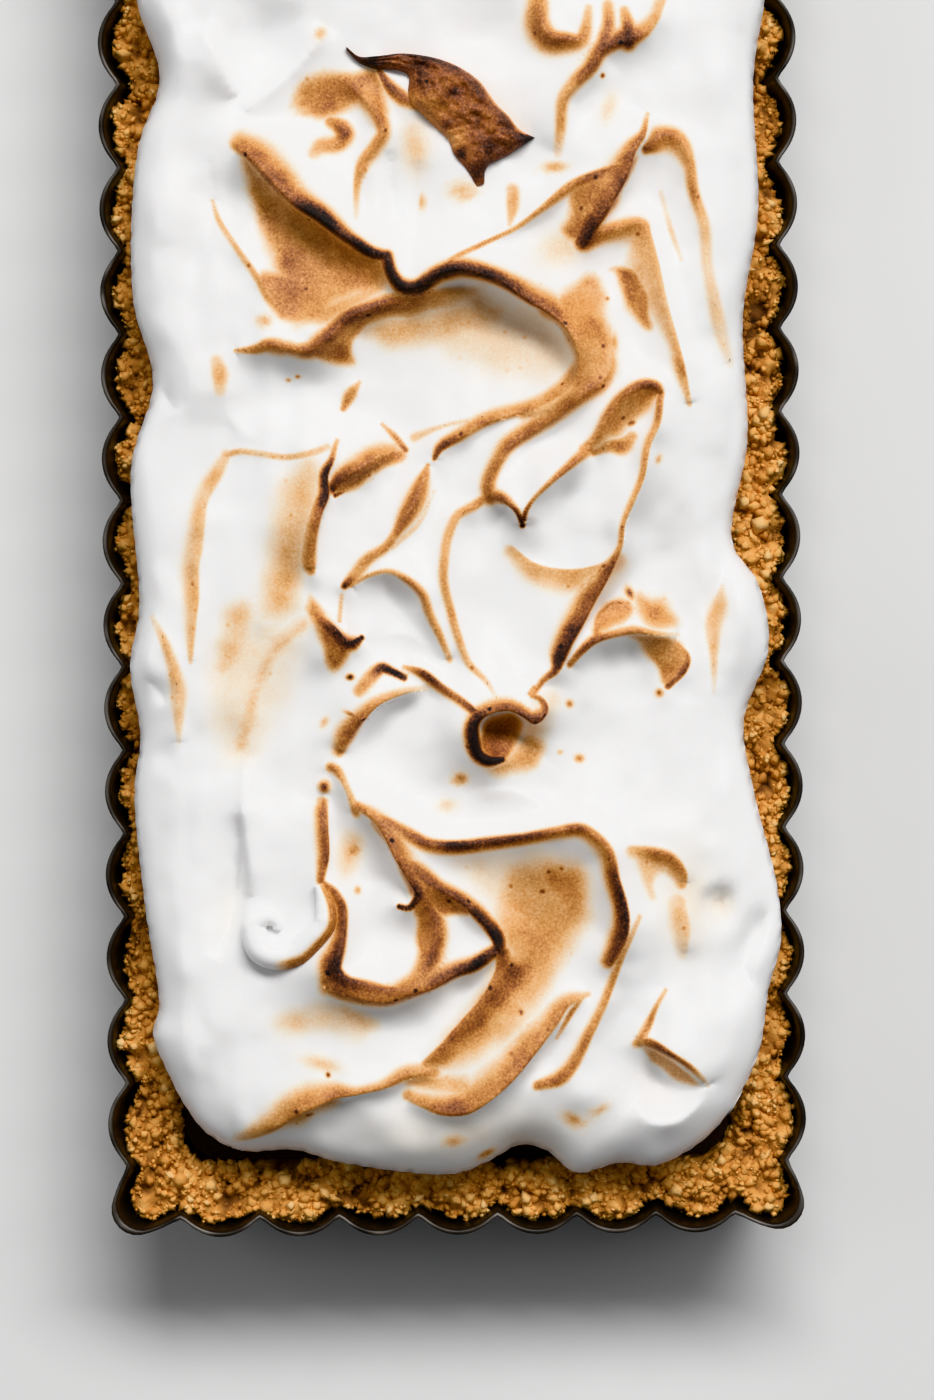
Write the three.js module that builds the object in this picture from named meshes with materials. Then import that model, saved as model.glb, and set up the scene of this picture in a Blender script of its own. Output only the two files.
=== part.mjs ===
// Chocolate marshmallow tart in its own fluted tin: a crumb crust, a dark chocolate filling and a
// swirled, toasted marshmallow topping. Millimetres, +Z up. X runs across the tart and +Y along it,
// away from the end that the photo shows. The origin is the middle of the tin's underside.

import * as THREE from 'three';

// Tin: a standard 35 x 11 cm rectangular tart tin with fluted, flared sides
const TIN_WIDTH = 110;
const TIN_LENGTH = 350;
const TIN_HEIGHT = 25;
const TIN_WALL = 0.9;
const FOOT_INSET = 5; // how far the foot stands in from the rim
const RIM_FLUTE_DEPTH = 2.8;
const FOOT_FLUTE_DEPTH = 2.2;
const SHORT_FLUTES = 7; // on each short side, between the corner lobes
const LONG_FLUTES = 25;
const CORNER_REACH = 11.4; // from the corner of the rim's box to the first valley
const CORNER_RADIUS = 5.4;
const VALLEY_ROUND = 0.25; // softens the narrow valley between two flutes
const FLUTE_STEPS = 4;
const HALF_TURN = SHORT_FLUTES + LONG_FLUTES + 2; // flutes and corner lobes in half a turn

// Clearance between neighbouring solids
const GAP = 0.3;

// Crust: a pressed crumb shell with a craggy top edge
const CRUST_FLOOR = 6; // top of its floor
const CRUST_TOP = 21.8;
const CRUST_SHOULDER = 15; // where the crumb leaves the tin's side
const CRUST_TAPER = 1.2; // how much the inner side closes in towards the floor
const CRAG_RISE = 1.1;
const CRAG_STEP = 1.3;

// Hollow inside the crust, at the crust's top
const HOLLOW_INSET = 11.4;
const HOLLOW_RADIUS = 6;

// Filling
const FILLING_TOP = 19.5;

// Marshmallow topping
const EDGE_HEIGHT = 26.4; // widest line of its rounded edge
const UNDERSIDE = 23.4; // lip that lies over the crust
const UNDERCUT = 1.5;
const PLUG_STEP = 1.2;
const BODY_RISE = 9; // from the edge line to the level of the hollows
const EDGE_WIDTH = 11; // width of the rounded edge
const SWELL = 0.8;
const CELLS_ACROSS = 28;
const CELLS_ALONG = 100;

// Crests: a sharp lip falls steeply on its left as its line is walked and gently on its right
const STEEP_FALL = 3.8;
const GENTLE_FALL = 6.5;
const CREST_ROUND = 1.6;
const END_SHARE = 0.45; // height of a crest at its two ends
const BLEND_POWER = 4;

// Outline of the topping's near part, from the near left corner
const NEAR_EDGE = [
  [-43.5, -152.5], [-39.5, -158], [-34, -161], [-25.5, -161], [-18.5, -163], [-0.5, -165], [5, -163],
  [10, -160.5], [14, -161.5], [18.5, -165], [25.5, -163.5], [31, -164], [38, -160.5], [43.5, -155],
];
const LEFT_EDGE = [
  [-43.5, -152.5], [-47.5, -142.5], [-46.5, -138.5], [-48.5, -123], [-50, -104.5], [-49, -96],
  [-50.5, -85], [-49, -76], [-50, -53.5], [-46.5, -40.5], [-49.5, -27.5], [-48.5, -4], [-45, 7],
  [-48.5, 20],
];
const RIGHT_EDGE = [
  [43.5, -155], [47.5, -146], [49, -136.5], [51, -129], [50.5, -120.5], [47, -105.5], [45.5, -94.5],
  [49.5, -83], [48, -73], [44, -66.5], [46.5, -50.5], [46, -31], [48.5, -15], [48, 6.5], [50, 20],
];

// Main crests of the near part: rise in millimetres and the line that each one follows
const CRESTS = {
  longCrest: { rise: 7, line: [[-10.5, -23], [-20, -17.5], [-29.5, -9.5], [-33, -5]] },
  bowlLip: { rise: 8, line: [[19.5, -39], [15, -32], [8, -27.5], [-5, -28.5], [-9.5, -22.5]] },
  thinRise: { rise: 4, line: [[-3, -26.5], [8, -19.5], [27, -8], [30.5, 0.5]] },
  taperBand: { rise: 5, line: [[23.5, -20], [31, -19.5], [33.5, -31], [37, -46.5]] },
  flapTop: { rise: 8, line: [[13, -4], [6, 4], [-5.5, 8.5], [-17, 13.5]] },
  flapUnder: { rise: 6, line: [[5.5, -11.5], [0, -3], [-7, 2], [-10, 5]] },
  farCurl: { rise: 7, line: [[13.5, 21], [17.5, 11], [22, 15.5], [21.5, 21]] },
  farFan: { rise: 6, line: [[30, 19], [28.5, 10.5], [22, 6], [17.5, -6]] },
  shelf: { rise: 5, line: [[-3, -29], [-10, -30], [-17.5, -36.5], [-32.5, -36.5]] },
  swoop: { rise: 6, line: [[24, -41.5], [15.5, -49], [7, -54.5], [5.5, -58.5]] },
  pitLeft: { rise: 5, line: [[5, -60], [0, -66], [-0.5, -78.5], [5.5, -89]] },
  heartLeft: { rise: 7, line: [[23.5, -51.5], [15.5, -58], [11, -64]] },
  heartRight: { rise: 8, line: [[26, -47], [33, -45], [30, -55.5], [26, -68.5], [16, -86]] },
  fan: { rise: 6, line: [[37, -84.5], [30.5, -81.5], [23.5, -82], [16.5, -86]] },
  peakCurl: { rise: 9, line: [[13.5, -89.5], [13.5, -94], [6.5, -93], [3, -96.5], [7, -100.5]] },
  basinLip: { rise: 6, line: [[2.5, -92], [-6.5, -89.5], [-17, -98]] },
  archLeft: { rise: 6, line: [[2.5, -90], [-4, -76], [-8.5, -71], [-16.5, -73.5]] },
  leftWall: { rise: 6, line: [[-17.5, -50.5], [-19.5, -58.5], [-21.5, -70], [-20, -79]] },
  roll: { rise: 5, line: [[-20.5, -118], [-21, -127], [-30, -131.5], [-32.5, -125], [-26, -124]] },
  cupRim: { rise: 6, line: [[-19, -119], [-18, -133], [-10, -134.5], [-3.5, -126]] },
  cupLeft: { rise: 8, line: [[-6, -121], [-9, -114.5], [-18.5, -100]] },
  underCup: { rise: 6, line: [[6.5, -128], [-2.5, -135], [-18.5, -135.5]] },
  wave: { rise: 8, line: [[-8.5, -110], [7, -112.5], [19, -110.5], [26, -124], [13.5, -150.5]] },
  frontFold: { rise: 5, line: [[22, -137.5], [6.5, -150], [-8.5, -150], [-30, -158.5]] },
  cornerFold: { rise: 5, line: [[38.5, -151], [29, -143], [32.5, -135]] },
};
const FAR_LIMIT = -26; // what lies wholly nearer than this is repeated, turned round, at the far end

const { clamp, lerp, smoothstep } = THREE.MathUtils;

function material(colour, roughness, metalness) {
  return new THREE.MeshStandardMaterial({ color: colour, roughness, metalness });
}

// A repeatable draw between 0 and 1
function draw(first, second) {
  const value = Math.sin(first * 127.1 + second * 311.7) * 43758.5453;
  return value - Math.floor(value);
}

// Walks round the tart counterclockwise from the near left valley, one unit for each flute.
// The loop stands in from the rim's box by inset and its valleys are cut in by depth.
function loopPoint(turn, inset, depth, radius, height) {
  const facing = turn < HALF_TURN ? 1 : -1;
  let along = turn % HALF_TURN;
  const onLong = along >= SHORT_FLUTES + 1;
  if (onLong) along -= SHORT_FLUTES + 1;
  const flutes = onLong ? LONG_FLUTES : SHORT_FLUTES;
  const halfWidth = TIN_WIDTH / 2 - inset;
  const halfLength = TIN_LENGTH / 2 - inset;
  const run = onLong ? halfLength : halfWidth;
  const side = onLong ? halfWidth : halfLength;
  const reach = Math.max(CORNER_REACH - inset, radius + 1);
  const straight = reach - radius;
  const arc = radius * Math.PI / 2;
  let forward = (run - reach) * (2 * along / flutes - 1);
  let outward = side;
  let heading = 0;
  if (along > flutes) {
    const walked = (along - flutes) * (2 * straight + arc);
    heading = clamp((walked - straight) / radius, 0, Math.PI / 2);
    forward = run - reach + Math.min(walked, straight) + radius * Math.sin(heading);
    outward = side - radius * (1 - Math.cos(heading)) - Math.max(walked - straight - arc, 0);
  }
  const swing = Math.hypot(Math.sin(Math.PI * turn), VALLEY_ROUND) - VALLEY_ROUND;
  const bump = swing / (Math.hypot(1, VALLEY_ROUND) - VALLEY_ROUND);
  forward -= depth * (1 - bump) * Math.sin(heading);
  outward -= depth * (1 - bump) * Math.cos(heading);
  const x = onLong ? outward : forward;
  const y = onLong ? forward : -outward;
  return new THREE.Vector3(facing * x, facing * y, height);
}

// A closed loop with a few points on each flute and twice as many on each corner lobe
function loop(inset, depth, radius, height, steps = FLUTE_STEPS) {
  const points = [];
  for (let flute = 0; flute < 2 * HALF_TURN; flute += 1) {
    const place = flute % HALF_TURN;
    const isCorner = place === SHORT_FLUTES || place === HALF_TURN - 1;
    const count = isCorner ? 2 * steps : steps;
    for (let i = 0; i < count; i += 1) {
      points.push(loopPoint(flute + i / count, inset, depth, radius, height));
    }
  }
  return points;
}

// The tin's outside at a height, or a loop that follows it further in
function tinLoop(height, inset) {
  const flare = height / TIN_HEIGHT;
  const depth = lerp(FOOT_FLUTE_DEPTH, RIM_FLUTE_DEPTH, flare);
  return loop(FOOT_INSET * (1 - flare) + inset, depth, CORNER_RADIUS, height);
}

// Adds the two triangles of a four-cornered cell, given counterclockwise as seen from outside
function addCell(faces, a, b, c, d) {
  faces.push(a, b, c, a, c, d);
}

function capFaces(ring, start, up) {
  const flat = ring.map((point) => new THREE.Vector2(point.x, point.y));
  const faces = [];
  for (const [a, b, c] of THREE.ShapeUtils.triangulateShape(flat, [])) {
    const turned = THREE.ShapeUtils.area([flat[a], flat[b], flat[c]]) > 0;
    if (turned === up) faces.push(start + a, start + b, start + c);
    else faces.push(start + a, start + c, start + b);
  }
  return faces;
}

// Joins rings of equally many points, from the underside up the outside and on over the top.
// The first ring is capped, and the last one too unless a top of its own closes it.
function ringBody(rings, closedTop = true) {
  const count = rings[0].length;
  const points = rings.flat();
  const faces = capFaces(rings[0], 0, false);
  for (let ring = 0; ring + 1 < rings.length; ring += 1) {
    for (let i = 0; i < count; i += 1) {
      const here = ring * count + i;
      const next = ring * count + (i + 1) % count;
      addCell(faces, here, next, next + count, here + count);
    }
  }
  if (closedTop) {
    const last = rings.length - 1;
    faces.push(...capFaces(rings[last], last * count, true));
  }
  return { points, faces };
}

function toMesh(name, body, surface) {
  const geometry = new THREE.BufferGeometry().setFromPoints(body.points);
  geometry.setIndex(body.faces);
  geometry.computeVertexNormals();
  const mesh = new THREE.Mesh(geometry, surface);
  mesh.name = name;
  return mesh;
}

function makeTin() {
  const body = ringBody([
    tinLoop(0, 0),
    tinLoop(TIN_HEIGHT, 0),
    tinLoop(TIN_HEIGHT, TIN_WALL),
    tinLoop(TIN_WALL, TIN_WALL),
  ]);
  return toMesh('tin', body, material(0x2a211b, 0.45, 0.6));
}

// Moves each point of a ring by a seeded draw, up or down and inwards
function roughen(ring, seed, rise, step) {
  ring.forEach((point, i) => {
    const pull = step * draw(i, seed + 0.5);
    point.x -= pull * Math.sign(point.x) * Math.min(1, Math.abs(point.x) / 40);
    point.y -= pull * Math.sign(point.y) * Math.min(1, Math.abs(point.y) / 160);
    point.z += rise * (2 * draw(i, seed) - 1);
  });
  return ring;
}

function hollowLoop(height, inset, steps = FLUTE_STEPS) {
  const narrowing = CRUST_TAPER * (CRUST_TOP - height) / (CRUST_TOP - CRUST_FLOOR);
  return loop(HOLLOW_INSET + narrowing + inset, 0, HOLLOW_RADIUS, height, steps);
}

function makeCrust() {
  const shoulder = tinLoop(CRUST_SHOULDER, TIN_WALL + GAP);
  const outerTop = loop(5, RIM_FLUTE_DEPTH * 0.6, CORNER_RADIUS, CRUST_TOP - 0.6);
  const middleTop = loop(8, RIM_FLUTE_DEPTH * 0.2, HOLLOW_RADIUS, CRUST_TOP);
  const body = ringBody([
    tinLoop(TIN_WALL + GAP, TIN_WALL + GAP),
    roughen(shoulder, 1, 0, CRAG_STEP * 0.4),
    roughen(outerTop, 2, CRAG_RISE, CRAG_STEP),
    roughen(middleTop, 3, CRAG_RISE, CRAG_STEP * 0.5),
    roughen(hollowLoop(CRUST_TOP, 0), 4, CRAG_RISE * 0.6, 0),
    hollowLoop(CRUST_FLOOR, 0),
  ]);
  return toMesh('crust', body, material(0xc08a45, 0.95, 0));
}

function makeFilling() {
  const body = ringBody([
    hollowLoop(CRUST_FLOOR + GAP, GAP + 0.1, 2),
    hollowLoop(FILLING_TOP, GAP + 0.1, 2),
  ]);
  return toMesh('filling', body, material(0x24120a, 0.4, 0));
}

function turnedRound(line) {
  return line.map(([x, y]) => [-x, -y]);
}

function smoothCurve(line) {
  const points = line.map(([x, y]) => new THREE.Vector3(x, y, 0));
  return new THREE.CatmullRomCurve3(points, false, 'centripetal');
}

// The far part of an edge is the other edge's near part turned round
function wholeEdge(edge, other) {
  const far = turnedRound(other.filter(([, y]) => y < FAR_LIMIT)).reverse();
  return smoothCurve([...edge, ...far]);
}

// Fills the outline with a grid of points that follows its four edges
function topGrid() {
  const near = smoothCurve(NEAR_EDGE).getSpacedPoints(CELLS_ACROSS);
  const far = smoothCurve(turnedRound(NEAR_EDGE).reverse()).getSpacedPoints(CELLS_ACROSS);
  const left = wholeEdge(LEFT_EDGE, RIGHT_EDGE).getSpacedPoints(CELLS_ALONG);
  const right = wholeEdge(RIGHT_EDGE, LEFT_EDGE).getSpacedPoints(CELLS_ALONG);
  const rows = [];
  for (let j = 0; j <= CELLS_ALONG; j += 1) {
    const v = j / CELLS_ALONG;
    const row = [];
    for (let i = 0; i <= CELLS_ACROSS; i += 1) {
      const u = i / CELLS_ACROSS;
      const point = new THREE.Vector3();
      point.addScaledVector(near[i], 1 - v).addScaledVector(far[i], v);
      point.addScaledVector(left[j], 1 - u).addScaledVector(right[j], u);
      point.addScaledVector(near[0], -(1 - u) * (1 - v)).addScaledVector(near[CELLS_ACROSS], -u * (1 - v));
      point.addScaledVector(far[0], -(1 - u) * v).addScaledVector(far[CELLS_ACROSS], -u * v);
      row.push(point);
    }
    rows.push(row);
  }
  return rows;
}

// Every crest as sampled points along its line; the near ones come again at the far end
function allCrests() {
  const crests = [];
  for (const { rise, line } of Object.values(CRESTS)) {
    const isNear = line.every(([, y]) => y < FAR_LIMIT);
    const lines = isNear ? [line, turnedRound(line)] : [line];
    for (const each of lines) {
      const curve = smoothCurve(each);
      crests.push({ rise, points: curve.getSpacedPoints(Math.ceil(curve.getLength())) });
    }
  }
  return crests;
}

// Height of one crest at a place: highest on the line and falling away on both sides
function crestHeight(crest, place) {
  let nearest = 0;
  let least = Infinity;
  crest.points.forEach((point, i) => {
    const distance = Math.hypot(place.x - point.x, place.y - point.y);
    if (distance < least) {
      least = distance;
      nearest = i;
    }
  });
  const last = crest.points.length - 1;
  const before = crest.points[Math.max(nearest - 1, 0)];
  const after = crest.points[Math.min(nearest + 1, last)];
  const onLeft = (after.x - before.x) * (place.y - before.y) > (after.y - before.y) * (place.x - before.x);
  const fall = onLeft ? STEEP_FALL : GENTLE_FALL;
  const share = lerp(END_SHARE, 1, Math.sin(Math.PI * nearest / last));
  const distance = Math.hypot(least, CREST_ROUND) - CREST_ROUND;
  return crest.rise * share * Math.exp(-distance / fall);
}

// Slow swelling of the spread surface
function swell(x, y) {
  return SWELL * (Math.sin(x * 0.11 + 1.3) * Math.cos(y * 0.083 + 0.4) + 0.6 * Math.sin(x * 0.05 - y * 0.12));
}

function raiseTop(rows, outline) {
  const crests = allCrests();
  for (const point of rows.flat()) {
    const distances = outline.map((edge) => Math.hypot(edge.x - point.x, edge.y - point.y));
    const inward = clamp(Math.min(...distances) / EDGE_WIDTH, 0, 1);
    const body = BODY_RISE * Math.sqrt(1 - (1 - inward) ** 2);
    const total = crests.reduce((sum, crest) => sum + crestHeight(crest, point) ** BLEND_POWER, 0);
    const relief = total ** (1 / BLEND_POWER) + swell(point.x, point.y);
    point.z = EDGE_HEIGHT + body + relief * smoothstep(inward, 0, 0.8);
  }
}

// Border of the grid, counterclockwise from the near left corner
function gridBorder(across, along) {
  const border = [];
  for (let i = 0; i < across; i += 1) border.push([i, 0]);
  for (let j = 0; j < along; j += 1) border.push([across, j]);
  for (let i = across; i > 0; i -= 1) border.push([i, along]);
  for (let j = along; j > 0; j -= 1) border.push([0, j]);
  return border;
}

// Moves a ring inwards by a distance and to a height
function stepIn(ring, distance, height) {
  return ring.map((point, i) => {
    const before = ring[(i + ring.length - 1) % ring.length];
    const after = ring[(i + 1) % ring.length];
    const inward = new THREE.Vector2(before.y - after.y, after.x - before.x).setLength(distance);
    return new THREE.Vector3(point.x + inward.x, point.y + inward.y, height);
  });
}

// Keeps a ring inside the crust's hollow
function fitHollow(ring) {
  const inset = HOLLOW_INSET + CRUST_TAPER + GAP;
  const halfWidth = TIN_WIDTH / 2 - inset - HOLLOW_RADIUS;
  const halfLength = TIN_LENGTH / 2 - inset - HOLLOW_RADIUS;
  return ring.map((point) => {
    const centre = new THREE.Vector3(
      clamp(point.x, -halfWidth, halfWidth),
      clamp(point.y, -halfLength, halfLength),
      point.z,
    );
    return point.clone().sub(centre).clampLength(0, HOLLOW_RADIUS).add(centre);
  });
}

function makeMarshmallow() {
  const rows = topGrid();
  const border = gridBorder(CELLS_ACROSS, CELLS_ALONG);
  const outline = border.map(([i, j]) => rows[j][i]);
  raiseTop(rows, outline);
  const lip = stepIn(outline, UNDERCUT, UNDERSIDE);
  const plugTop = fitHollow(stepIn(outline, UNDERCUT + PLUG_STEP, UNDERSIDE));
  const plugFoot = plugTop.map((point) => new THREE.Vector3(point.x, point.y, FILLING_TOP + GAP));
  const body = ringBody([plugFoot, plugTop, lip, outline], false);

  // The border points are the last ring's; the points inside it follow
  const lastRing = 3 * outline.length;
  const numbers = rows.map((row) => row.map(() => -1));
  border.forEach(([i, j], k) => {
    numbers[j][i] = lastRing + k;
  });
  rows.forEach((row, j) => row.forEach((point, i) => {
    if (numbers[j][i] >= 0) return;
    numbers[j][i] = body.points.length;
    body.points.push(point);
  }));
  for (let j = 0; j < CELLS_ALONG; j += 1) {
    for (let i = 0; i < CELLS_ACROSS; i += 1) {
      addCell(body.faces, numbers[j][i], numbers[j][i + 1], numbers[j + 1][i + 1], numbers[j + 1][i]);
    }
  }
  return toMesh('marshmallow', body, material(0xf1e6d6, 0.7, 0));
}

const tart = new THREE.Group();
tart.name = 'chocolate_marshmallow_tart';
tart.add(makeTin(), makeCrust(), makeFilling(), makeMarshmallow());

export default tart;
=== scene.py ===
"""Chocolate marshmallow tart in its fluted tin: the visible surfaces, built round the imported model.

Sizes below are millimetres in the tart's own frame: X across, +Y along the tart away from the near end,
Z up from the tin's underside. Pieces are scaled to metres when their meshes are made.
"""
import itertools
import math

import bpy
import numpy as np
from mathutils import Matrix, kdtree


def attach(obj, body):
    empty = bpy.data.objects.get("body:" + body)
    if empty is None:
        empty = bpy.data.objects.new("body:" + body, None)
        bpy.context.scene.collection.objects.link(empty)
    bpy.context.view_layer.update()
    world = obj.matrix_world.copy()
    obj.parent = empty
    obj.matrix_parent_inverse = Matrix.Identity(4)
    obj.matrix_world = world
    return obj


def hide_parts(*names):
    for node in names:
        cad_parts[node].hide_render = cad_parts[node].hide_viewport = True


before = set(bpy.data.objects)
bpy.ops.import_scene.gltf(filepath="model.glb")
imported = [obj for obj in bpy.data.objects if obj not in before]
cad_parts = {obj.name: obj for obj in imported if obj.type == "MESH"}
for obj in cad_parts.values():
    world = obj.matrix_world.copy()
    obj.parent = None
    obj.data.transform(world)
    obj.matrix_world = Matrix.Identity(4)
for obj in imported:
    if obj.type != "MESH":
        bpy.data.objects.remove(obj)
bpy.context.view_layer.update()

MM = 0.001
SEED = 20

# Camera, floor and light, in metres, millimetres of lens, degrees and watts
CAMERA_PLACE, CAMERA_TURN = (0.0022, -0.0908, 0.725), -0.553
CAMERA_LENS, CAMERA_SENSOR = 114.5, 36
FLOOR_HALF = 2.0
LIGHT_TARGET = (0, -0.06, 0)
WARM_WHITE, COOL_WHITE = (1.0, 0.99, 0.98), (0.98, 0.985, 1.0)
# Lamps: place, width, height, power, colour
LAMPS = {
    "key": ((0.45, 1.5, 2.0), 2.4, 0.8, 76, WARM_WHITE),
    "right": ((1.5, 0.6, 1.1), 1.2, 1.2, 5, COOL_WHITE),
    "left": ((-1.6, 0.2, 1.1), 1.2, 1.2, 6, COOL_WHITE),
}
SKY_STRENGTH = 0.13

# Colour ramps: place, then red, green and blue as they are displayed, from 0 to 255
TIN_COLOURS = [(0, 6, 5, 3), (0.3, 20, 15, 9), (0.6, 56, 49, 42), (1, 118, 112, 106)]
CRUST_COLOURS = [
    (0, 34, 16, 3), (0.2, 124, 73, 19), (0.45, 206, 140, 60), (0.7, 234, 175, 95), (1, 247, 208, 142),
]
FILLING_COLOURS = [(0.3, 14, 7, 3), (0.75, 30, 15, 7)]
TOAST_COLOURS = [
    (0, 242, 242, 242), (0.05, 243, 238, 231), (0.12, 243, 226, 203), (0.2, 240, 205, 164),
    (0.28, 231, 180, 121), (0.36, 214, 153, 84), (0.44, 191, 125, 55), (0.52, 164, 97, 37),
    (0.6, 136, 74, 27), (0.68, 108, 55, 19), (0.76, 80, 38, 14), (0.86, 48, 21, 9), (1, 19, 10, 8),
]
FLOOR_COLOURS = [(0.3, 217, 217, 217), (0.7, 224, 224, 224)]
# The view transform takes this much off every channel of a bright colour, and less off a dark one
VIEW_LOSS = 0.04

# Steps between two given places on a smooth curve
CURVE_STEPS = 24
# Cells after which the noises repeat, and the grains' radius in cells
NOISE_CELLS, GRAIN_CELLS = 64, 32
GRAIN_RADIUS = 0.8

# Tin
TIN_WIDTH, TIN_LENGTH, TIN_HEIGHT = 110, 350, 25
TIN_WALL = 0.9
FOOT_INSET = 5
RIM_FLUTE_DEPTH, FOOT_FLUTE_DEPTH = 2.8, 2.2
SHORT_FLUTES, LONG_FLUTES = 7, 25
HALF_TURN = SHORT_FLUTES + LONG_FLUTES + 2
CORNER_REACH, CORNER_RADIUS = 11.4, 5.4
LOBE_RADIUS = 1.4
VALLEY_ROUND = 0.2
TIN_STEPS = 16
# Above this height the rim turns lighter, partly worn metal and partly a painted highlight; chips break it up
WEAR_AND_GLINT_HEIGHT, CHIP_SIZE = 24.5, 2.5
# Section of the wall, from the underside up the outside and down the inside: inset and height
TIN_SECTION = [
    (0.7, 0), (0.2, 0.15), (0, 0.6), (0, 6), (0, 12), (0, 18), (0, 23.5), (0, 24.5), (0.12, 24.85),
    (0.45, 25), (0.78, 24.85), (0.9, 24.5), (0.9, 23.5), (0.9, 18), (0.9, 12), (0.9, 6), (0.95, 1.9),
    (1.3, 1.15), (2, 0.9),
]

# Crust: heights of its side, which follows the tin's wall
CRUST_GAP = 1.2
CRUST_SIDE = (1.2, 5, 9, 12)
# Its shoulder: gap to the tin's outer face, share of the flutes' depth, height
CRUST_SHOULDER = [
    (1.2, 1, 15), (1.2, 0.98, 18), (1.2, 0.97, 20.5), (1.5, 0.9, 21.5), (2.4, 0.7, 22.1), (3.8, 0.35, 22.3),
]
# Its top and its inner side: inset and height
CRUST_TOP = [(6.3, 22.1), (7.2, 22.2), (8.1, 22.2), (8.9, 22.1), (9.7, 21.9), (10.4, 21.5), (11, 20.9)]
CRUST_INSIDE = [(11.4, 20), (11.6, 18.5), (12.3, 10), (12.6, 6)]
CRUST_STEPS = 28
HOLLOW_RADIUS = 6
# Its shoulder wanders freely this far in from the side; lumps stand out by no more than the room there
LOOSE_GAP = 1.6
FREE_ROOM, LEAST_ROOM = 5, 0.1
# Its relief of clumps, grains and crumbs; clumps rise more below the outer height
CLUMP_SIZE, GRAIN_SIZE, CRUMB_SIZE = 7, 2.3, 1.2
CLUMP_RISE, OUTER_CLUMP_RISE, GRAIN_RISE, CRUMB_RISE = 1.8, 1.2, 1.2, 0.7
RELIEF_FROM, RELIEF_OVER = 12, 3
OUTER_HEIGHT, OUTER_OVER = 21.5, 2
# Loose crumbs: how many, the crust's rings that they lie on, least size, what is added to it, and their shape
CRUMB_COUNT = 20000
CRUMB_RINGS = (10, 36)
CRUMB_LEAST, CRUMB_MORE = 0.35, 0.8
CRUMB_CORNERS = np.array([(1, 0, 0), (0, 1, 0), (-1, 0, 0), (0, -1, 0), (0, 0, 1), (0, 0, -1)])
CRUMB_SIDES = np.array([
    (0, 1, 4), (1, 2, 4), (2, 3, 4), (3, 0, 4), (1, 0, 5), (2, 1, 5), (3, 2, 5), (0, 3, 5),
])

# Filling: section from its foot up to its edge and in over its top: inset and height
FILLING_STEPS = 4
FILLING_SECTION = [
    (12.9, 6.3), (12, 19), (11.9, 19.9), (12.3, 19.7), (13.2, 19.5), (16, 19.45), (22, 19.5), (34, 19.5),
]

# Marshmallow: its rounded edge is narrower along the sides, between the ends, and rises to its body
EDGE_HEIGHT = 26.4
BODY_RISE = 9
EDGE_WIDTH, SIDE_EDGE_WIDTH = 11, 7.5
SIDE_ENDS = (110, 145)
EDGE_STEP = 0.5
# Steps of the turned-in edge below: depth inwards and drop
UNDERSIDE = [(0.15, 0.9), (0.7, 1.9), (1.6, 2.6), (3, 2.9)]
# Low swells, and lengthwise streaks that grow stronger away from the middle
SWELL = 0.8
STREAK_WIDTH, STREAK_SHARE = 2.8, 0.2
STREAK_START, STREAK_OVER = 20, 15
# Its mesh: triangles grow with the gap to the nearest crest, and are smaller where the toasting is thin
CELLS_ACROSS, CELLS_ALONG = 80, 264
NEAR_PART = 26
FINE_STEPS = 7
FINE_GAPS, FINE_AREAS = (0.6, 1.4, 3, 6), (0.065, 0.17, 0.5, 1.2)
THIN_LIMITS = (0.35, 0.7)
PULL_SHARE = 0.25
FAR_COARSER = 7
CRISP_SOFT = 1.5
OUTLINE_GAP = 0.7
SMALL_SPOT = 0.7
CHUNK = 4000
# Its crests and toasting; what lies wholly nearer than the limit comes again at the far end
CREST_ROUND = 0.4
LINE_SHARPNESS = 3
NO_LINE = 4
REACH_LIMITS = (0.2, 0.2, 0), (9, 9, 1)
END_SHARES = (0.1, 0.6)
BLEND_POWER = 4
NEAREST_POWER = 6
CREST_REACH, AREA_REACH = 24, 5
FAR_LIMIT = -26
UNTOASTED = (1, 1, 0)

# Outline of the topping's near part
NEAR_EDGE = [
    (-43.5, -152.5), (-39.5, -158), (-34, -161), (-25.5, -161), (-18.5, -163), (-0.5, -165), (5, -163),
    (10, -160.5), (14, -161.5), (18.5, -165), (25.5, -163.5), (31, -164), (38, -160.5), (43.5, -155),
]
LEFT_EDGE = [
    (-43.5, -152.5), (-47.5, -142.5), (-46.5, -138.5), (-48.5, -123), (-50, -104.5), (-49, -96),
    (-50.5, -85), (-49, -76), (-50, -53.5), (-46.5, -40.5), (-49.5, -27.5), (-48.5, -4), (-45, 7),
    (-48.5, 20),
]
RIGHT_EDGE = [
    (43.5, -155), (47.5, -146), (49, -136.5), (51, -129), (50.5, -120.5), (47, -105.5), (45.5, -94.5),
    (49.5, -83), (48, -73), (44, -66.5), (46.5, -50.5), (46, -31), (48.5, -15), (48, 6.5), (50, 20),
]

# Kinds of crest: how far it falls off on the left of the line as it is walked and on the right, and the
# lean of its top towards the left
KINDS = {
    "lip": (1.7, 6.5, 1.3),
    "fold": (2.4, 5.5, 0.5),
    "band": (2.0, 5.5, 0.5),
    "ridge": (2.6, 3.2, 0),
    "line": (2.0, 2.2, 0),
    "soft": (4.5, 5.0, 0),
    "groove": (1.6, 1.6, 0),
    "slit": (0.9, 3.0, 0),
}

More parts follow.
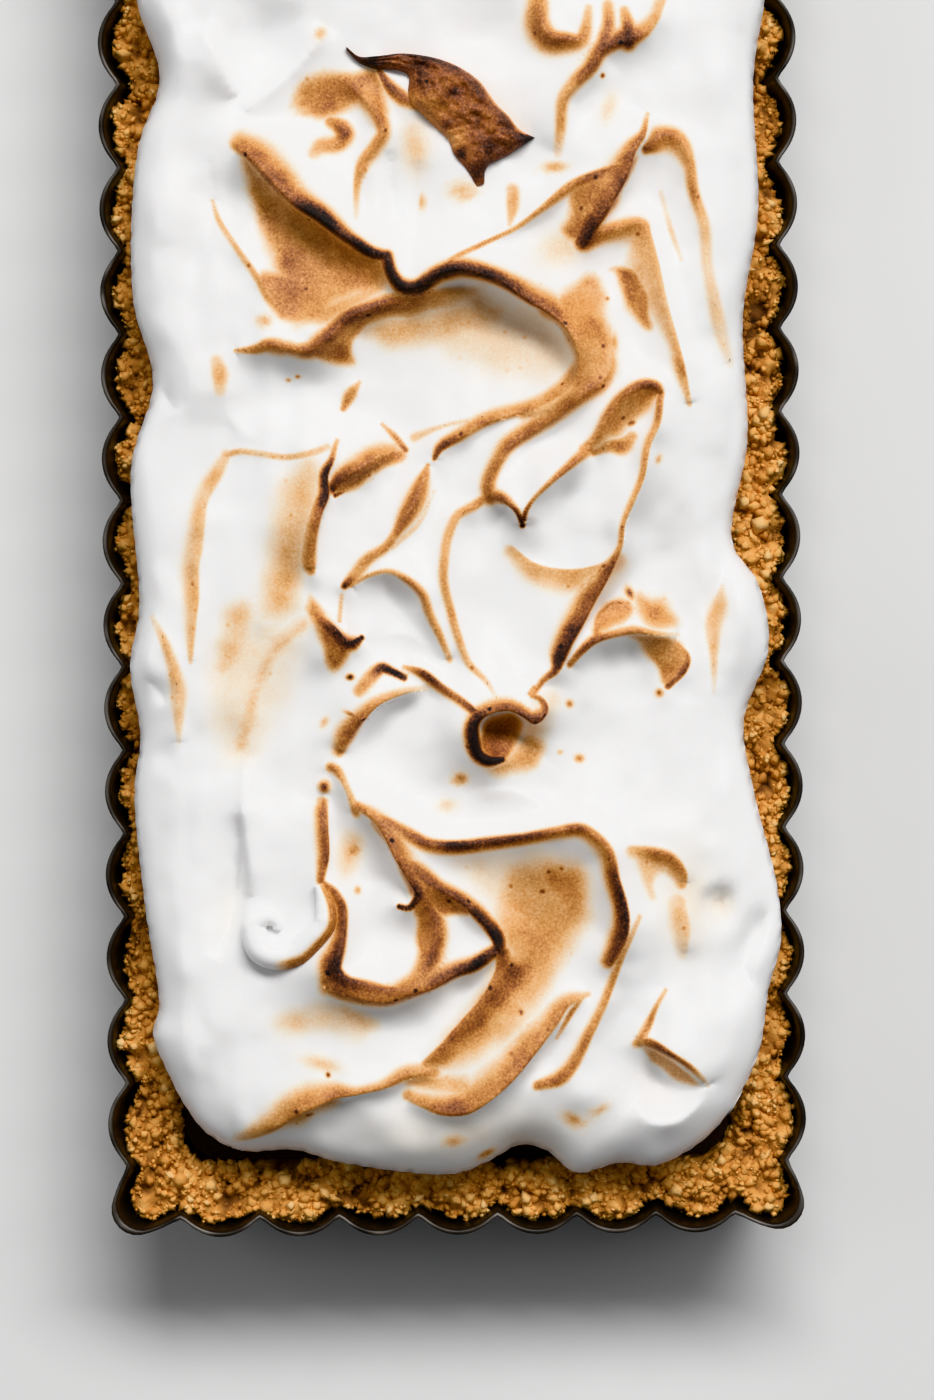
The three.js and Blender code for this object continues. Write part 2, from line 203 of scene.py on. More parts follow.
# Crests: kind, rise, and the line as it is walked. Each row is a place and, on a toasted crest, the reach of
# the toasting on the left and on the right and its strength from 0 to 1
CRESTS = {
    "far_curl": ("ridge", 3.5, [
        (14.5, 17, 1.4, 1.9, 0.42), (14.5, 14, 1.4, 2.4, 0.48), (16, 11.5, 1.3, 2.6, 0.55),
        (18.5, 11, 1.1, 2.2, 0.62), (20.5, 11, 1, 1.5, 0.52), (21.5, 13, 0.9, 1, 0.36),
        (22, 16, 0.7, 0.7, 0.2)]),
    "far_fan": ("fold", 4, [
        (33.5, 17, 0.55, 1.3, 0.3), (32.5, 14, 0.55, 1.4, 0.38), (30.5, 11.5, 0.8, 1.9, 0.5),
        (28, 10.5, 1.1, 2.2, 0.68), (26, 10, 1.1, 1.9, 0.6), (24, 9, 1.3, 1.6, 0.58),
        (22.5, 6.5, 1.1, 1.4, 0.56), (20, 4, 1.1, 1.3, 0.46), (18, 1.5, 1.1, 1, 0.4),
        (17.5, -2.5, 1, 0.8, 0.35), (17, -6.5, 0.8, 0.8, 0.12)]),
    "fan_stem": ("ridge", 2.5, [
        (25, 16.5, 0.9, 0.9, 0.35), (25, 13.5, 1.1, 1.1, 0.5), (24, 10, 1.3, 1.3, 0.58)]),
    "fan_middle": ("line", 2, [
        (27.5, 15.5, 0.8, 0.8, 0.35), (28, 13, 1.1, 1.1, 0.58), (28, 10.5, 1.3, 1.3, 0.72)]),
    "comma": ("line", 2.5, [
        (-15.5, 5, 1.3, 1.3, 0.42), (-14, 3.5, 1.8, 1.4, 0.52), (-12, 1.5, 1.6, 1.4, 0.5),
        (-10.5, -1, 1.4, 1.1, 0.48), (-10, -3, 1.3, 1, 0.45), (-11.5, -5.5, 1.3, 1, 0.42),
        (-13, -7.5, 1.3, 1, 0.42), (-14, -10.5, 0.8, 0.55, 0.35), (-14, -16, 0.4, 0.4, 0.1)]),
    "comma_curl": ("line", 2, [
        (-18, -1, 1, 1, 0.42), (-16.5, -2, 1.4, 1.3, 0.6), (-16, -3, 1.6, 1.3, 0.66),
        (-17, -4.5, 1.4, 1.3, 0.5), (-19.5, -5, 1.4, 1.4, 0.4), (-20.5, -6, 1, 1, 0.25)]),
    "flap_root": ("line", 1.5, [
        (-11, 7.5, 0.4, 0.4, 0.5), (-10, 6, 0.6, 0.6, 0.8), (-9, 4.5, 1, 1, 0.62),
        (-6.5, 2, 1.3, 1.1, 0.52), (-3, 1.5, 1.3, 1.3, 0.52)]),
    "far_left_rim": ("fold", 4.2, [(-38, 14), (-35.5, 9), (-32.5, 3)]),
    "far_mid_rim": ("ridge", 4.2, [(-31.5, 0.5), (-26, 5), (-21.5, 9.5), (-18.5, 13.5)]),
    "long_crest": ("lip", 7, [
        (-10, -22.5, 0.8, 1, 1), (-12, -22, 1, 1, 1), (-15.5, -20, 1.1, 1.2, 0.95),
        (-19.5, -17, 1.3, 1.7, 0.95), (-24, -14, 1.4, 2.3, 0.72), (-27.5, -10.5, 1.4, 3.1, 0.58),
        (-30, -7.5, 1.1, 3.3, 0.5), (-32.5, -5, 0.8, 2.5, 0.42)]),
    "bowl_lip": ("lip", 8, [
        (11, -46.5, 0.55, 1, 0.3), (15.5, -45, 0.55, 1.4, 0.36), (18.5, -42.5, 0.55, 1.8, 0.38),
        (19.5, -40, 0.55, 2.1, 0.38), (19.5, -38, 0.55, 2.4, 0.4), (18.5, -35, 0.55, 2.4, 0.46),
        (17, -33, 0.55, 2.4, 0.5), (14.5, -31, 0.8, 2.4, 0.55), (12, -29.5, 1, 2.1, 0.65),
        (9, -27.5, 1.1, 1.6, 0.78), (6, -26, 1.3, 1.4, 0.92), (2, -25, 1.4, 1.4, 1),
        (-1, -25.5, 1.4, 1.3, 1), (-2, -26, 1.3, 1.3, 1), (-5, -27.5, 1.3, 1.1, 1),
        (-7.5, -27, 1.1, 1.1, 1), (-9, -25, 1, 1, 1), (-9.5, -22.5, 1, 1, 0.95)]),
    "thin_left": ("line", 1.2, [
        (-36.5, -13, 0.35, 0.4, 0.2), (-35.5, -16, 0.4, 0.6, 0.32), (-33, -20, 0.4, 0.7, 0.34),
        (-31, -23, 0.5, 0.7, 0.36), (-29, -26, 0.5, 0.8, 0.38), (-28, -28, 0.5, 0.9, 0.4),
        (-25.5, -31, 0.6, 1, 0.42)]),
    "shelf": ("fold", 4.5, [
        (5, -27.5, 1.9, 0.8, 0.15), (1.5, -28, 2.6, 1, 0.3), (-2.5, -28.5, 2.6, 1, 0.42),
        (-6, -29.5, 2.6, 1.1, 0.55), (-9, -29.5, 2.4, 1.3, 0.62), (-12, -30.5, 2.4, 1.3, 0.66),
        (-15.5, -32, 2.2, 1.4, 0.62), (-18, -34.5, 2.2, 1.6, 0.6), (-20, -36, 1.9, 1.6, 0.58),
        (-22, -37, 1.3, 1.1, 0.5), (-25, -36.5, 1.1, 1.1, 0.48), (-27.5, -36, 1.1, 1.1, 0.5),
        (-30, -36.5, 0.8, 0.8, 0.48), (-33, -36.5, 0.4, 0.4, 0.3)]),
    "stroke_left": ("line", 0.5, [
        (-36, -38, 1, 1, 0.2), (-35.5, -40, 1.3, 1.3, 0.32), (-35.5, -42.5, 1, 1, 0.2)]),
    "stroke_mid": ("line", 0.8, [
        (-16.5, -45.5, 0.55, 0.55, 0.45), (-15.5, -43.5, 1, 1, 0.55), (-14, -41.5, 0.4, 0.4, 0.3)]),
    "stroke_low": ("line", 0.8, [
        (-10.5, -48, 0.35, 0.35, 0.25), (-8.5, -50, 0.6, 0.6, 0.5), (-7, -52, 0.55, 0.55, 0.55)]),
    "stroke_far": ("line", 0.5, [
        (10, -12, 1, 1, 0.3), (10, -14.5, 1, 1, 0.4), (9.5, -17.5, 0.4, 0.4, 0.2)]),
    "thin_rise": ("line", 3.5, [
        (-3.5, -25.5, 0.5, 0.7, 0.6), (0, -23.5, 0.5, 0.7, 0.5), (0, -23, 0.45, 0.55, 0.45),
        (5, -20.5, 0.4, 0.45, 0.42), (10.5, -18, 0.4, 0.45, 0.42), (14, -15.5, 0.45, 0.6, 0.42),
        (16.5, -13.5, 0.6, 0.9, 0.45), (19, -11.5, 0.7, 1.4, 0.5), (23, -9.5, 0.5, 1.8, 0.52),
        (27, -8, 0.4, 1.8, 0.52)]),
    "wedge": ("lip", 5.5, [
        (31, -0.5, 0.4, 0.4, 0.2), (30.5, -4, 0.45, 0.8, 0.47), (29, -6.5, 0.55, 1.6, 0.55),
        (27.5, -10.5, 0.6, 2.6, 0.63), (25, -15, 0.8, 3.2, 0.71), (22.5, -18.5, 0.8, 2.6, 0.77),
        (21, -20.5, 1, 1.6, 0.75)]),
    "taper_band": ("band", 4.5, [
        (21, -20.5, 0.8, 1.3, 0.63), (23.5, -19, 1.3, 1.6, 0.47), (26.5, -18, 1.4, 2.2, 0.38),
        (30, -17.5, 1, 2.9, 0.36), (31, -19.5, 0.45, 3.5, 0.35), (32, -23.5, 0.45, 4, 0.33),
        (33, -28.5, 0.45, 3.5, 0.31), (33.5, -30.5, 0.4, 2.6, 0.29), (35, -36, 0.4, 1.3, 0.35),
        (36, -40, 0.4, 1.4, 0.4), (37, -45.5, 0.4, 0.55, 0.3)]),
    "right_hook": ("ridge", 3, [
        (30.5, -6, 0.8, 0.8, 0.72), (32, -5, 1.3, 1.8, 0.5), (33, -4, 1.6, 2.6, 0.46),
        (35, -4, 1.3, 2.6, 0.45), (36.5, -5.5, 1.1, 2.2, 0.45), (37.5, -8.5, 0.8, 1.3, 0.48),
        (38, -12.5, 0.8, 1, 0.42), (39.5, -18, 1, 1, 0.25), (40, -24.5, 1, 1, 0.2),
        (42, -34, 1.3, 1.3, 0.2), (43.5, -39, 0.8, 0.8, 0.08)]),
    "swoop_upper": ("fold", 4.5, [
        (20.5, -40, 1, 1.9, 0.36), (18.5, -42.5, 1, 1.8, 0.4), (15.5, -44.5, 0.8, 1.4, 0.42),
        (12, -46, 0.8, 1.4, 0.44), (8.5, -47, 0.8, 1.4, 0.46), (5.5, -48, 0.8, 1.4, 0.5),
        (2, -50, 0.8, 1.3, 0.55), (-1.5, -52, 0.55, 1, 0.7), (-2.5, -53.5, 0.4, 0.4, 0.6)]),
    "swoop_faint": ("line", 0.8, [
        (-5.5, -50, 0.8, 0.8, 0.3), (-1.5, -48.5, 0.45, 0.45, 0.22), (4.5, -47, 0.4, 0.4, 0.16)]),
    "swoop_lower": ("fold", 5.5, [
        (24.5, -33.5, 0.8, 1.3, 0.2), (25, -37.5, 1, 1.6, 0.3), (25, -40, 1.1, 2.1, 0.36),
        (23.5, -42.5, 1.4, 2.4, 0.44), (22, -43.5, 1.4, 2.4, 0.46), (19, -45.5, 1.3, 2.1, 0.5),
        (15.5, -48, 1.1, 1.9, 0.52), (12, -50, 1, 1.8, 0.5), (9, -52, 1, 1.6, 0.48), (7, -55, 1, 1.4, 0.46),
        (6, -57.5, 1.1, 1.4, 0.48), (6, -59.5, 1.3, 1.3, 0.52)]),
    "pit_tip": ("lip", 6, [
        (11, -64, 0.45, 0.45, 1), (9.5, -61.5, 0.55, 0.6, 0.85), (7.5, -60, 1, 1.1, 0.6),
        (6, -59.5, 1.3, 1.3, 0.5)]),
    "heart_left": ("fold", 6.5, [
        (21.5, -52.5, 0.9, 1.1, 0.43), (18.5, -55, 0.6, 0.8, 0.45), (15.5, -57.5, 0.45, 0.55, 0.46),
        (13, -60, 0.4, 0.4, 0.5), (11.5, -63, 0.35, 0.35, 0.85)]),
    "heart_crown": ("fold", 6, [
        (20.5, -52.5, 0.8, 0.9, 0.42), (22.5, -50.5, 1, 1.3, 0.42), (24.5, -47, 1.3, 1.4, 0.42),
        (27, -44, 1.1, 1.4, 0.48), (30, -42.5, 1, 1.4, 0.56), (32, -43, 0.8, 1.1, 0.56),
        (32.5, -44, 0.55, 0.8, 0.5)]),
    "heart_blob": ("line", 1, [
        (22, -53, 0.55, 0.55, 0.4), (24.5, -52, 1, 1, 0.42), (26.5, -52, 1.3, 1.3, 0.55),
        (28, -50.5, 0.8, 0.8, 0.4)]),
    "heart_right": ("fold", 7, [
        (32.5, -44, 0.5, 0.8, 0.46), (32, -48.5, 0.45, 0.8, 0.44), (30.5, -52, 0.45, 0.8, 0.44),
        (29.5, -57, 0.4, 0.7, 0.42), (28, -60.5, 0.4, 0.7, 0.42), (26.5, -64, 0.4, 0.6, 0.44),
        (26, -67.5, 0.4, 0.6, 0.5), (25, -70, 0.35, 1, 0.66), (23.5, -73, 0.35, 1.6, 0.68),
        (22, -75.5, 0.4, 2.2, 0.68), (20, -79, 0.45, 2.4, 0.7), (18.5, -81.5, 0.5, 2.2, 0.75),
        (17, -84.5, 0.6, 1.8, 0.85), (16, -86.5, 0.5, 0.9, 0.8), (14, -88, 0.45, 0.6, 0.55),
        (12.5, -90, 0.45, 0.45, 0.5)]),
    "heart_base": ("fold", 2, [
        (9.5, -67.5, 0.35, 1.6, 0.22), (13, -70, 0.35, 2.6, 0.28), (17.5, -71, 0.35, 3, 0.3),
        (21.5, -70.5, 0.35, 3, 0.3), (25, -69, 0.35, 2.4, 0.3)]),
    "pit_left": ("ridge", 4, [
        (5.5, -59.5, 0.8, 0.8, 0.46), (3.5, -61, 0.7, 0.9, 0.4), (1, -62.5, 0.7, 0.9, 0.36),
        (-0.5, -66, 0.7, 0.9, 0.36), (-1, -69.5, 0.7, 0.9, 0.34), (-1, -72, 0.6, 0.9, 0.34),
        (0, -77, 0.6, 0.8, 0.36), (1, -81, 0.6, 0.8, 0.36), (2.5, -85, 0.6, 0.7, 0.32),
        (5, -87.5, 0.5, 0.5, 0.28), (6.5, -89.5, 0.4, 0.4, 0.12)]),
    "finger": ("ridge", 4, [
        (-3.5, -54.5, 0.4, 0.4, 0.35), (-4.5, -57.5, 1.3, 1.3, 0.48), (-5.5, -60, 1.6, 1.6, 0.52),
        (-7, -62.5, 1.4, 1.4, 0.55), (-8.5, -65, 0.8, 0.8, 0.45), (-10, -67, 0.8, 0.8, 0.4),
        (-13, -69, 1, 1, 0.42), (-15, -71.5, 1, 1, 0.5), (-16.5, -73, 0.6, 0.6, 0.9)]),
    "finger_side": ("line", 0.8, [
        (-2.5, -58.5, 0.35, 0.35, 0.08), (-5, -63.5, 0.45, 0.45, 0.16), (-9, -67, 0.55, 0.55, 0.2)]),
    "arch_left": ("fold", 5, [
        (-0.5, -84.5, 0.5, 0.6, 0.3), (-2, -81, 0.6, 0.7, 0.4), (-3.5, -77.5, 0.9, 0.7, 0.46),
        (-4.5, -74.5, 1, 0.7, 0.5), (-6.5, -72.5, 0.8, 0.6, 0.46), (-9.5, -71, 0.5, 0.5, 0.42),
        (-12.5, -71.5, 0.4, 0.4, 0.42), (-15.5, -73, 0.35, 0.35, 0.45)]),
    "left_wall": ("lip", 5, [
        (-17.5, -50.5, 0.4, 0.4, 0.3), (-18, -53.5, 0.45, 0.6, 0.6), (-19, -56, 0.55, 1, 0.8),
        (-19, -59, 1, 1.1, 1), (-20, -62, 0.8, 1.4, 0.68), (-21, -66, 0.8, 1.6, 0.58),
        (-21.5, -69.5, 0.8, 1.6, 0.54), (-21.5, -70.5, 0.55, 1.1, 0.55)]),
    "left_flag": ("band", 4, [
        (-8.5, -52.5, 0.8, 1.5, 0.3), (-10.5, -53, 1.1, 1.9, 0.4), (-13, -54.5, 1.2, 2.1, 0.46),
        (-16.5, -56.5, 1, 1.7, 0.56), (-18.5, -58, 0.8, 1, 0.9)]),
    "flag_under": ("line", 1, [
        (-12, -56.5, 0.25, 0.25, 0.15), (-15.5, -58, 0.3, 0.3, 0.3), (-18, -59, 0.4, 0.4, 0.85)]),
    "left_streak": ("line", 1, [
        (-34.5, -52.5, 0.55, 1, 0.22), (-36, -55.5, 0.8, 1.6, 0.26), (-38, -59.5, 0.55, 1.9, 0.26),
        (-38.5, -63, 0.55, 2.1, 0.27), (-39, -67, 0.55, 2.4, 0.28), (-39.5, -69.5, 0.55, 2.4, 0.29),
        (-39.5, -74.5, 0.45, 2.1, 0.29), (-40, -79.5, 0.45, 1.4, 0.29), (-40.5, -84.5, 0.4, 0.4, 0.2)]),
    "streak_top": ("line", 1, [
        (-19, -51.5, 0.55, 0.55, 0.2), (-22, -52.5, 0.6, 0.6, 0.28), (-25.5, -53, 0.55, 0.55, 0.3),
        (-29, -52.5, 0.55, 0.55, 0.28), (-32.5, -52, 0.55, 0.55, 0.3), (-35, -52.5, 0.55, 0.55, 0.25)]),
    "side_streak": ("line", 0.8, [
        (-46.5, -77.5, 0.55, 0.55, 0.13), (-44.5, -81.5, 0.8, 0.8, 0.27), (-43, -86, 1.1, 1.1, 0.29),
        (-42.5, -89, 1.4, 1.4, 0.28), (-42.5, -92.5, 1, 1, 0.25), (-42.5, -97, 0.4, 0.4, 0.1)]),
    "star": ("lip", 5, [
        (-20.5, -77.5, 0.8, 1.3, 0.5), (-18, -79.5, 0.8, 1.6, 0.7), (-16, -81.5, 0.55, 1.3, 0.85),
        (-14, -81, 0.45, 0.45, 1)]),
    "star_thread": ("line", 0.6, [(-17, -74.5, 0.4, 0.4, 0.25), (-17.5, -78.5, 0.4, 0.4, 0.3)]),
    "basin_lip": ("lip", 5.5, [
        (-4, -89, 0.4, 0.55, 0.12), (-8, -90, 0.4, 0.8, 0.3), (-11.5, -91.5, 0.45, 1.1, 0.42),
        (-14, -94, 0.8, 1.6, 0.52), (-16, -96.5, 1, 2.1, 0.55), (-17.5, -98.5, 0.8, 1.3, 0.45)]),
    "arm_hook": ("ridge", 3, [
        (-15, -89, 0.8, 0.8, 0.35), (-13, -87, 1, 1, 0.45), (-11, -85.5, 0.8, 0.8, 0.85),
        (-9.5, -86, 0.6, 0.6, 0.95), (-7.5, -87, 0.55, 0.55, 0.75)]),
    "peak_arm": ("ridge", 4, [
        (-7.5, -85.5, 0.4, 0.4, 0.25), (-4.5, -86.5, 0.55, 1, 0.6), (-2, -88.5, 0.55, 1, 0.65),
        (1, -90.5, 0.55, 1, 0.55), (3, -92, 0.55, 1, 0.6)]),
    "peak_curl": ("lip", 8, [
        (12.5, -89, 0.4, 0.4, 0.45), (12, -90, 0.4, 0.4, 0.5), (13.5, -90.5, 0.45, 0.55, 0.6),
        (14.5, -92, 0.55, 0.8, 0.7), (14, -93.5, 0.55, 1, 0.8), (12.5, -94.5, 0.55, 1.1, 0.85),
        (11, -93.5, 0.55, 1.1, 0.75), (9, -92.5, 0.55, 1.3, 0.7), (7, -92.5, 0.55, 1.4, 0.7),
        (4.5, -93.5, 0.8, 1.3, 0.75), (3.5, -95, 1.1, 1.3, 0.95), (3.5, -97, 1.3, 1.3, 1),
        (4, -99, 1.1, 1.1, 1), (5.5, -100, 1, 1, 1), (7.5, -100, 0.55, 0.55, 1)]),
    "fan": ("fold", 6.5, [
        (35, -81, 0.4, 0.4, 0.15), (31.5, -81, 0.55, 0.55, 0.3), (28, -80.5, 0.8, 0.8, 0.42),
        (25, -81, 0.55, 0.8, 0.5), (22, -82, 0.55, 1, 0.55), (20, -83.5, 0.55, 0.8, 0.6),
        (18, -85.5, 0.55, 0.55, 0.5)]),
    "fan_left_edge": ("line", 1.5, [
        (22, -80.5, 0.55, 1, 0.4), (22.5, -78, 0.55, 1.1, 0.44), (25, -76, 0.55, 1.1, 0.48),
        (27, -76, 0.55, 1, 0.44)]),
    "fan_flap_edge": ("line", 1, [
        (35, -82.5, 0.4, 0.8, 0.4), (36.5, -84.5, 0.4, 1, 0.55), (36, -86.5, 0.4, 1.1, 0.6),
        (33.5, -89, 0.4, 0.8, 0.55)]),
    "right_streak": ("line", 0.8, [
        (42, -73.5, 0.4, 0.4, 0.1), (41.5, -76.5, 1.3, 1.3, 0.26), (40.5, -79.5, 1.3, 1.3, 0.29),
        (40.5, -83.5, 0.8, 0.8, 0.26), (40.5, -90, 0.4, 0.4, 0.1)]),
    "lobe_crease": ("groove", -1.6, [(44, -66), (42.5, -70), (40.5, -77), (40.5, -84), (40.5, -90)]),
    "tail_peak": ("ridge", 4.5, [
        (-19, -101, 0.8, 0.8, 0.5), (-18, -101.5, 0.8, 0.8, 0.5), (-16.5, -104, 0.55, 0.55, 0.3),
        (-15, -108, 0.8, 0.8, 0.4)]),
    "tongue_edge": ("lip", 3.5, [
        (-20.5, -106, 0.55, 1, 0.3), (-20, -106, 0.55, 1.3, 0.45), (-19.5, -111, 0.55, 1.4, 0.58),
        (-19.5, -115, 0.55, 1.3, 0.62), (-20.5, -118.5, 0.55, 0.8, 0.55)]),
    "tongue_left": ("fold", 2.2, [(-31.5, -121), (-32, -115), (-32.5, -107), (-32.5, -99)]),
    "cup_rim": ("band", 5, [
        (-20.5, -118.5, 0.4, 0.4, 0.5), (-18.5, -120, 0.55, 1, 0.5), (-17, -122.5, 0.55, 1.3, 0.6),
        (-17, -126, 0.6, 1.4, 0.66), (-17.5, -129, 0.8, 1.9, 0.75), (-18, -132, 0.8, 2.6, 0.85),
        (-16.5, -133.5, 0.8, 2.6, 0.75), (-13.5, -134, 0.8, 1.9, 0.6), (-10, -134.5, 0.8, 1.8, 0.55),
        (-7, -133.5, 1, 1.9, 0.55), (-5, -131, 1.1, 1.9, 0.55), (-3.5, -128.5, 1.1, 1.8, 0.55),
        (-3, -125.5, 1.3, 1.6, 0.55), (-4, -123, 1.3, 1.6, 0.55), (-5, -120, 1.3, 1.4, 0.6)]),
    "under_cup": ("lip", 5.5, [
        (6.5, -129.5, 0.8, 1.1, 1), (3, -132, 1, 1.3, 0.88), (0.5, -133, 1, 1.6, 0.78),
        (-3, -135, 1.1, 1.9, 0.62), (-7, -136.5, 1.3, 1.9, 0.55), (-10.5, -137.5, 1.3, 1.9, 0.52),
        (-14.5, -137, 1.3, 1.9, 0.52), (-17.5, -136, 1.3, 1.6, 0.5), (-20, -135, 1, 1.3, 0.4)]),
    "cup_left": ("lip", 6.5, [
        (-8.5, -122.5, 0.45, 0.45, 1), (-7, -122.5, 0.55, 0.55, 1), (-6, -120.5, 0.55, 1.3, 0.9),
        (-7, -118.5, 0.55, 1.6, 0.72), (-9, -115, 0.55, 1.9, 0.58), (-10.5, -112, 0.55, 1.9, 0.52),
        (-12.5, -109, 0.55, 1.3, 0.52), (-15, -107, 0.55, 0.8, 0.5)]),
    "cup_right": ("ridge", 5, [
        (-7.5, -115, 1.1, 0.8, 0.5), (-5.5, -116.5, 1.3, 1, 0.65), (-2.5, -119.5, 1.3, 0.8, 0.7),
        (1.5, -122, 1.3, 0.8, 0.7), (4.5, -125, 1.4, 0.8, 0.82), (6.5, -128, 1.4, 0.8, 1),
        (6.5, -129.5, 1.1, 0.8, 1)]),
    "wave": ("fold", 6, [
        (-15, -107, 0.4, 0.4, 0.4), (-10.5, -108.5, 0.55, 0.8, 0.42), (-7, -110.5, 0.8, 1, 0.5),
        (-3.5, -112.5, 0.8, 1.3, 0.62), (0, -113, 0.8, 1.3, 0.85), (5.5, -112.5, 0.8, 1.3, 0.85),
        (10.5, -112, 0.8, 1.1, 0.75), (15.5, -111, 0.8, 1.3, 0.55), (19.5, -110.5, 0.8, 1.4, 0.5),
        (22, -112, 0.8, 1.6, 0.5), (24, -114.5, 0.8, 1.8, 0.52), (25, -118.5, 0.55, 1.8, 0.65),
        (26, -122, 0.55, 1.6, 0.85), (26.5, -125, 0.45, 1.9, 0.85), (26, -128, 0.45, 2.2, 0.72),
        (24, -131.5, 0.55, 1.6, 0.6)]),
    "outer_line": ("ridge", 3, [
        (28.5, -124.5, 0.4, 0.55, 0.2), (26, -130, 0.45, 0.8, 0.38), (23, -138, 0.45, 1, 0.45),
        (21, -142, 0.55, 1.1, 0.48), (18, -147.5, 0.8, 1.3, 0.5), (16, -149.5, 1, 1.3, 0.5),
        (12.5, -150.5, 0.8, 0.8, 0.45)]),
    "bump_line": ("fold", 2.2, [(-1, -106), (4, -105), (9, -105), (13.5, -107), (17, -110)]),
    "inner_wave": ("band", 3.5, [
        (-5, -147, 0.55, 1.9, 0.35), (-2.5, -144.5, 0.55, 3.2, 0.5), (1, -140.5, 0.55, 3.2, 0.52),
        (4.5, -136.5, 0.55, 3.2, 0.52), (6.5, -132.5, 0.55, 2.6, 0.56), (7, -130, 0.8, 1.6, 0.8)]),
    "lower_fold": ("lip", 4.5, [
        (20.5, -136.5, 0.4, 0.55, 0.3), (17.5, -138, 0.55, 1.6, 0.42), (15.5, -141, 0.55, 2.4, 0.45),
        (12, -145.5, 0.55, 2.9, 0.47), (8.5, -149.5, 0.55, 3.2, 0.5), (5, -152.5, 0.55, 3.2, 0.52),
        (1.5, -154.5, 0.55, 2.9, 0.6), (-2.5, -154.5, 0.55, 2.6, 0.55), (-5, -153.5, 0.55, 1.9, 0.45),
        (-7.5, -152, 0.8, 1.3, 0.35)]),
    "inner_fold": ("line", 1.2, [
        (15.5, -143, 0.4, 0.4, 0.3), (17.5, -139.5, 0.55, 0.55, 0.46), (19.5, -137, 0.4, 0.4, 0.3)]),
    "right_loop": ("line", 1.5, [
        (27.5, -114, 0.55, 1.4, 0.3), (30.5, -114.5, 0.8, 2.4, 0.42), (33.5, -115.5, 0.8, 2.4, 0.42),
        (35.5, -118, 0.55, 2.2, 0.46), (35.5, -119.5, 0.55, 1.4, 0.36)]),
    "loop_tail": ("line", 0.8, [
        (35, -122.5, 1, 2.2, 0.2), (35.5, -126.5, 1, 2.4, 0.26), (35.5, -130.5, 0.55, 1.4, 0.1)]),
    "corner_fold": ("lip", 3, [
        (39, -151, 0.4, 0.4, 0.12), (35.5, -147.5, 1.3, 0.45, 0.5), (32.5, -145.5, 1.6, 0.45, 0.58),
        (29.5, -144, 1.4, 0.55, 0.5), (28, -144, 1, 0.55, 0.42)]),
    "corner_stem": ("line", 1.5, [
        (28.5, -143.5, 0.8, 0.8, 0.42), (30, -141, 0.8, 0.55, 0.4), (31, -138.5, 0.45, 0.45, 0.35),
        (32.5, -136, 0.4, 0.4, 0.25)]),
    "front_fold": ("lip", 4, [
        (-3.5, -148.5, 0.8, 1.4, 0.4), (-7.5, -149, 0.8, 1.6, 0.42), (-11, -150.5, 0.55, 1.1, 0.42),
        (-15.5, -151.5, 0.55, 1, 0.42), (-18.5, -152, 0.55, 1.9, 0.48), (-22, -153.5, 0.8, 2.9, 0.5),
        (-25, -155, 0.8, 2.9, 0.48), (-28, -157, 0.8, 2.6, 0.42), (-31.5, -158.5, 0.55, 1.9, 0.3),
        (-34.5, -159, 0.4, 1, 0.12)]),
    "roll_crease": ("slit", -3.2, [(50.5, -121), (48, -126), (46, -129.5), (45, -133), (48, -138)]),
    "far_side_rim": ("ridge", 1.4, [(-39.5, 9.5), (-36, 5.5), (-32.5, 2)]),
    "shelf_step": ("ridge", 1.2, [(-34, -37), (-34.5, -42), (-34, -46.5), (-31.5, -49.5), (-28, -51)]),
    "tongue_groove": ("slit", -3.2, [
        (-33, -108), (-33, -113), (-33.5, -118), (-34, -121.5), (-35.5, -126.5), (-37.5, -130.5)]),
    "basin_ridge": ("ridge", 1.5, [(-15.5, -84.5), (-12, -81.5), (-7.5, -80.5), (-3.5, -83), (0, -87)]),
    "lobe_furrow": ("groove", -0.7, [(40.5, -90), (41, -98), (40.5, -108), (39.5, -114)]),
    "corner_rim": ("ridge", 2.2, [
        (27.5, -153.5), (30, -156.5), (34, -156.5), (37.5, -153.5), (38.5, -150)]),
    "slope_furrow_a": ("slit", -3.4, [(-8, -21.5), (-8.5, -13), (-9, -5.5)]),
    "slope_furrow_b": ("slit", -2.4, [(-12.5, -19), (-13, -13.5), (-13, -9)]),
    "left_swell": ("soft", 1, [(-43.5, 2), (-43.5, -10), (-42.5, -20)]),
    "left_trough": ("groove", -1.2, [(-37, -6), (-36.5, -13), (-37, -21)]),
    "left_notch": ("groove", -1.2, [(-46, -40.5), (-44, -43.5), (-42.5, -46)]),
    "right_trough": ("groove", -0.8, [(45.5, 17), (45.5, 5), (46, -5)]),
    "right_thread": ("line", 0.4, [
        (33, -12.5, 0.4, 0.4, 0.1), (34.5, -18.5, 0.5, 0.5, 0.18), (36, -23, 0.4, 0.4, 0.1)]),
    "right_furrow": ("groove", -0.6, [(44, -44), (43, -57)]),
    "side_notch": ("groove", -1, [(-49, -87), (-46.5, -88), (-44.5, -91)]),
    "slope_furrow_c": ("slit", -2.4, [(-6, -24), (-5, -18), (-5, -13), (-4.5, -7)]),
}

